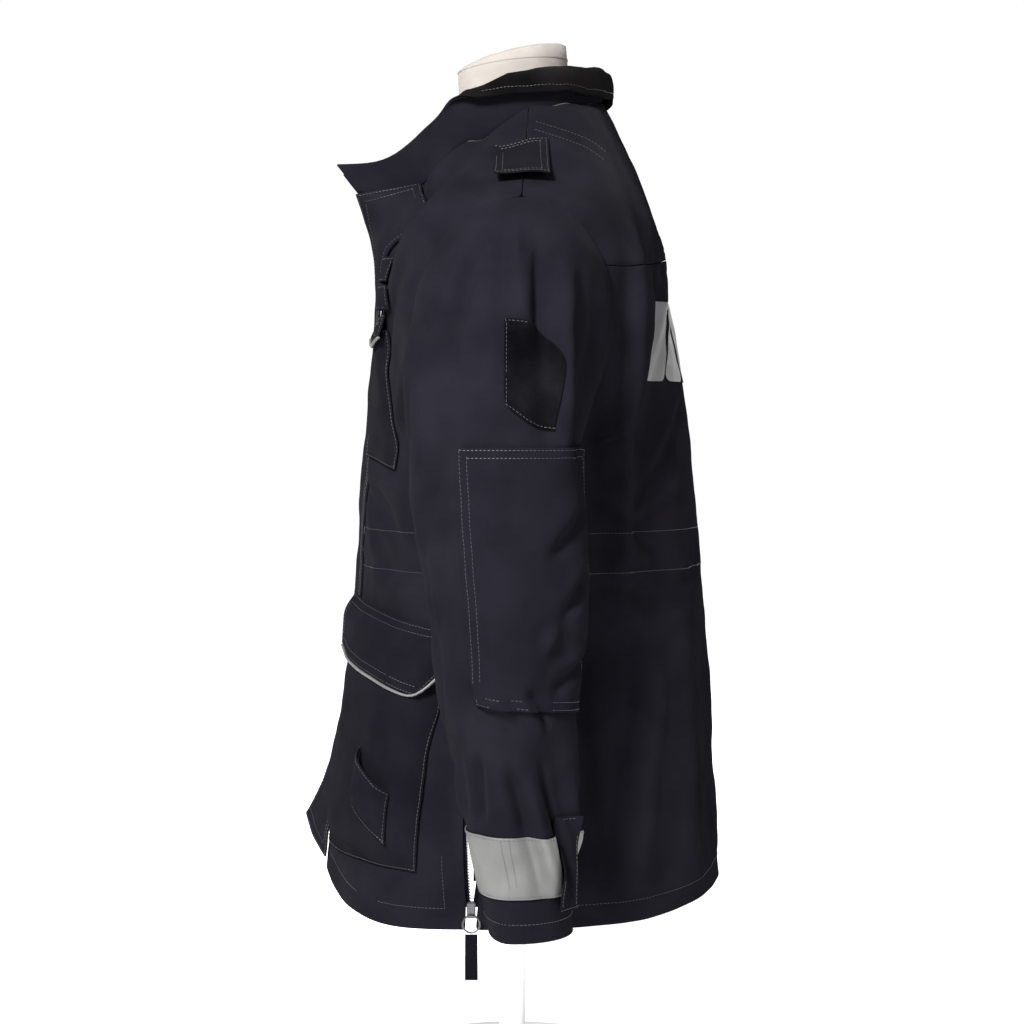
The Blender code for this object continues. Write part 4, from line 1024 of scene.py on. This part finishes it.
# %% Cuts
CUTS = {
    # piece: (width, length, area, how it is held, what it lies on or hangs from)
    "front": (0.300, 0.760, 0.1775, "hung", "dress_form"),
    "back_panel": (0.640, 0.600, 0.3535, "hung", "cloth_back_yoke"),
    "back_yoke": (0.560, 0.210, 0.0866, "hung", "dress_form"),
    "storm_flap": (0.100, 0.700, 0.0564, "hung", "cloth_front_left"),
    "front_zip_tape": (0.036, 0.625, 0.0215, "hung", "cloth_front"),
    "chest_pocket": (0.078, 0.130, 0.0087, "laid", "cloth_front"),
    "chest_flap": (0.076, 0.028, 0.00185, "hung", "cloth_front"),
    "lower_pocket": (0.175, 0.236, 0.0360, "laid", "cloth_front"),
    "lower_flap": (0.175, 0.065, 0.0094, "hung", "cloth_front"),
    "small_pocket": (0.052, 0.070, 0.00285, "laid", "cloth_lower_pocket"),
    "chest_loop_upper": (0.044, 0.022, 0.00090, "laid", "cloth_front"),
    "chest_loop_lower": (0.038, 0.022, 0.00078, "laid", "cloth_front"),
    "epaulette": (0.050, 0.092, 0.00447, "laid", "cloth_back_yoke"),
    "side_zip_front_tape": (0.028, 0.168, 0.00417, "hung", "cloth_front"),
    "side_zip_back_tape": (0.045, 0.168, 0.00702, "hung", "cloth_back_panel"),
    "collar_shell": (0.530, 0.068, 0.0297, "hung", "cloth_back_yoke"),
    "collar_fleece": (0.530, 0.072, 0.0329, "hung", "cloth_collar_shell"),
    "sleeve": (0.370, 0.640, 0.1890, "hung", "dress_form"),
    "elbow_patch": (0.150, 0.225, 0.0312, "laid", "cloth_sleeve"),
    "sleeve_hook_patch": (0.052, 0.092, 0.0037, "laid", "cloth_sleeve"),
    "cuff_band": (0.315, 0.052, 0.0158, "laid", "cloth_sleeve"),
    "cuff_tab": (0.030, 0.080, 0.00215, "laid", "cloth_sleeve"),
}
for node, item in cloth.items():
    side = "_left" if node.endswith("_left") else "_right" if node.endswith("_right") else ""
    piece = node[:len(node) - len(side)]
    if piece in CUTS:
        width, length, area, held, under = CUTS[piece]
        if under in ("cloth_front", "cloth_sleeve", "cloth_lower_pocket"):
            under += side
        real = sum(face.area for face in item.data.polygons) / 2.0
        if abs(real / area - 1.0) > 0.04:
            print("cut to look at:", node, round(real, 5), "stated", area)
print("cuts:", len(CUTS))

# %% [markdown]
# ## One object for all the thread
#
# The places found above each get a copy of the one stitch, joined in a single mesh that moves
# with the jacket.

# %% Sew
thread = copies_of("topstitching", stitch_points, stitch_faces, thread_places)
thread.data.materials.append(plain("navy_thread", (0.0065, 0.0063, 0.0090), 0.6))
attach(thread, "jacket")
print("thread triangles:", len(thread.data.polygons) * 2)
zips = copies_of("zip_teeth", tooth_points, tooth_faces, teeth)
zips.data.materials.append(bright_metal)
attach(zips, "jacket")

# %% [markdown]
# ## Silver bars of the back
#
# A row of six plain silver film bars is pressed on the back below the yoke. Each bar is a
# sheet of points with rounded corners on the creased panel, and a thin film thick.

# %% Six bars across the back
BAR_COUNT, BAR_WIDTH, BAR_STEP = 6, 0.048, 0.056
BAR_BOTTOM, BAR_TOP, BAR_CORNER, BAR_LIFT = 0.655, 0.725, 0.009, 0.0009
BAR_ROWS, BAR_COLUMNS = 20, 18


def back_line(tree, height):
    """Points straight across the back at a height, and how far along each one lies."""
    hits, arc = [], [0.0]
    for x in np.arange(0.0, 0.2, 0.002):
        place, normal, _, _ = tree.ray_cast(Vector((x, 1.0, height)), Vector((0.0, -1.0, 0.0)))
        if place is None:
            break
        hits.append((place, normal))
    for (a, _), (b, _) in zip(hits, hits[1:]):
        arc.append(arc[-1] + (b - a).length)
    return [place.x for place, _ in hits], arc


corners, faces = [], []
for bar in range(BAR_COUNT):
    middle = (bar - (BAR_COUNT - 1) / 2.0) * BAR_STEP
    start = len(corners)
    for row in range(BAR_ROWS + 1):
        share = 0.5 - 0.5 * math.cos(math.pi * row / BAR_ROWS)
        height = BAR_BOTTOM + (BAR_TOP - BAR_BOTTOM) * share
        end = min(height - BAR_BOTTOM, BAR_TOP - height)
        cut = BAR_CORNER - math.sqrt(max(BAR_CORNER ** 2 - max(BAR_CORNER - end, 0.0) ** 2, 0.0))
        half = BAR_WIDTH / 2.0 - cut
        xs, arc = back_line(back_tree, height)
        for column in range(BAR_COLUMNS + 1):
            along = middle + half * (2.0 * column / BAR_COLUMNS - 1.0)
            x = float(np.interp(abs(along), arc, xs)) * (1.0 if along > 0 else -1.0)
            place, normal, _, _ = back_tree.ray_cast(Vector((x, 1.0, height)),
                                                     Vector((0.0, -1.0, 0.0)))
            corners.append(place + normal * BAR_LIFT)
    for row in range(BAR_ROWS):
        for column in range(BAR_COLUMNS):
            low = start + row * (BAR_COLUMNS + 1) + column
            faces.append((low, low + BAR_COLUMNS + 1, low + BAR_COLUMNS + 2, low + 1))
film_mesh = bpy.data.meshes.new("back_bars")
film_mesh.from_pydata([tuple(c) for c in corners], [], faces)
bars = bpy.data.objects.new("back_bars", film_mesh)
bpy.context.scene.collection.objects.link(bars)
pick(bars)
bpy.ops.object.mode_set(mode="EDIT")
bpy.ops.mesh.select_all(action="SELECT")
bpy.ops.mesh.flip_normals()
bpy.ops.object.mode_set(mode="OBJECT")
film = bars.modifiers.new("film", "SOLIDIFY")
film.thickness = 0.0003
film.offset = -1.0
bpy.ops.object.modifier_apply(modifier="film")
bpy.ops.object.shade_smooth_by_angle(angle=math.radians(40))
lay_weave(bars, False)
bars.data.materials.append(finishes["reflective_tape"])
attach(bars, "jacket")
facing = sum(face.normal.y for face in bars.data.polygons if face.area > 1e-6)
print("bars:", BAR_COUNT, "faces:", len(bars.data.polygons), "facing back:", round(facing, 1))

# %% [markdown]
# ## The form
#
# The form's torso is stretched linen, so its facets are smoothed. The neck's cap is a separate
# disc of card under the same linen; its seam shows as a narrow raised line below the edge.

# %% Smooth linen form with the seam of its cap
FORM_SHARP = math.radians(32)
form = copied_wall("linen_form", "dress_form")
sides = {}
for face in form.data.polygons:
    for key in face.edge_keys:
        sides.setdefault(key, []).append(face.normal)
crease = form.data.attributes.new("crease_edge", "FLOAT", "EDGE")
for edge in form.data.edges:
    facing = sides[edge.key]
    if len(facing) == 2 and facing[0].angle(facing[1]) > FORM_SHARP:
        crease.data[edge.index].value = 0.85
round_off(form, 2)
lay_weave(form, False)
form.data.materials.append(finishes["form_linen"])
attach(form, "jacket")
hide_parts("dress_form")
form_tree = BVHTree.FromPolygons([v.co for v in form.data.vertices],
                                 [tuple(f.vertices) for f in form.data.polygons])
cap_line = []
for step in range(61):
    angle = math.radians(step * 6.0)
    out = Vector((math.sin(angle), -math.cos(angle), 0.0))
    height = 0.9525 - 0.006 * math.cos(angle)
    place, normal, _, _ = form_tree.ray_cast(Vector((0.0, 0.0, height)) + out * 0.3, -out)
    cap_line.append((place, normal))
cap_seam = welt_mesh("cap_seam", [cap_line], 0.0020, 0.0006)
cap_seam.data.materials.append(finishes["form_linen"])
lay_weave(cap_seam, False)
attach(cap_seam, "jacket")
print("form faces:", len(form.data.polygons))

# %% [markdown]
# ## Floor, light and camera
#
# A pale floor, one broad light from the side of the camera and the front, a weaker one from
# behind and a white surrounding keep the cloth's folds readable without hard shadows.

# %% Studio
def area_light(name, place, aim, size, power):
    """A square area light that looks at a point."""
    data = bpy.data.lights.new(name, "AREA")
    data.size = size
    data.energy = power
    item = bpy.data.objects.new(name, data)
    item.location = place
    item.rotation_euler = (Vector(aim) - Vector(place)).to_track_quat("-Z", "Y").to_euler()
    bpy.context.scene.collection.objects.link(item)
    return item


deselect_all()
bpy.ops.mesh.primitive_plane_add(size=30.0, location=(0.0, 0.0, -0.0005))
floor = bpy.context.object
floor.name = "floor"
pale = plain("pale_floor", (0.93, 0.93, 0.93), 0.9)
pale.node_tree.nodes["Principled BSDF"].inputs["Emission Color"].default_value = (1, 1, 1, 1)
pale.node_tree.nodes["Principled BSDF"].inputs["Emission Strength"].default_value = 0.06
floor.data.materials.append(pale)
area_light("key", (2.2, -1.0, 2.1), (0.0, 0.0, 0.55), 0.6, 400.0)
area_light("fill", (2.3, 1.2, 1.0), (0.0, 0.0, 0.5), 1.0, 16.0)
area_light("back", (-1.9, 0.9, 1.8), (0.0, 0.0, 0.6), 1.5, 40.0)
world = bpy.data.worlds.new("white_surrounding")
world.use_nodes = True
world.node_tree.nodes["Background"].inputs["Color"].default_value = (1.0, 1.0, 1.0, 1.0)
world.node_tree.nodes["Background"].inputs["Strength"].default_value = 1.02
bpy.context.scene.world = world
bpy.context.scene.view_settings.view_transform = "Standard"

camera_data = bpy.data.cameras.new("photo_camera")
camera_data.lens = LENS
camera_data.sensor_width = SENSOR
camera = bpy.data.objects.new("photo_camera", camera_data)
camera.location = CAMERA_PLACE
camera.rotation_euler = (CAMERA_AIM - CAMERA_PLACE).to_track_quat("-Z", "Y").to_euler()
bpy.context.scene.collection.objects.link(camera)
bpy.context.scene.camera = camera

# %% [markdown]
# ## Size of the dressed jacket
#
# The dressed jacket stays as large as its solids, apart from the little that soft cloth
# stands proud.

# %% End
import json
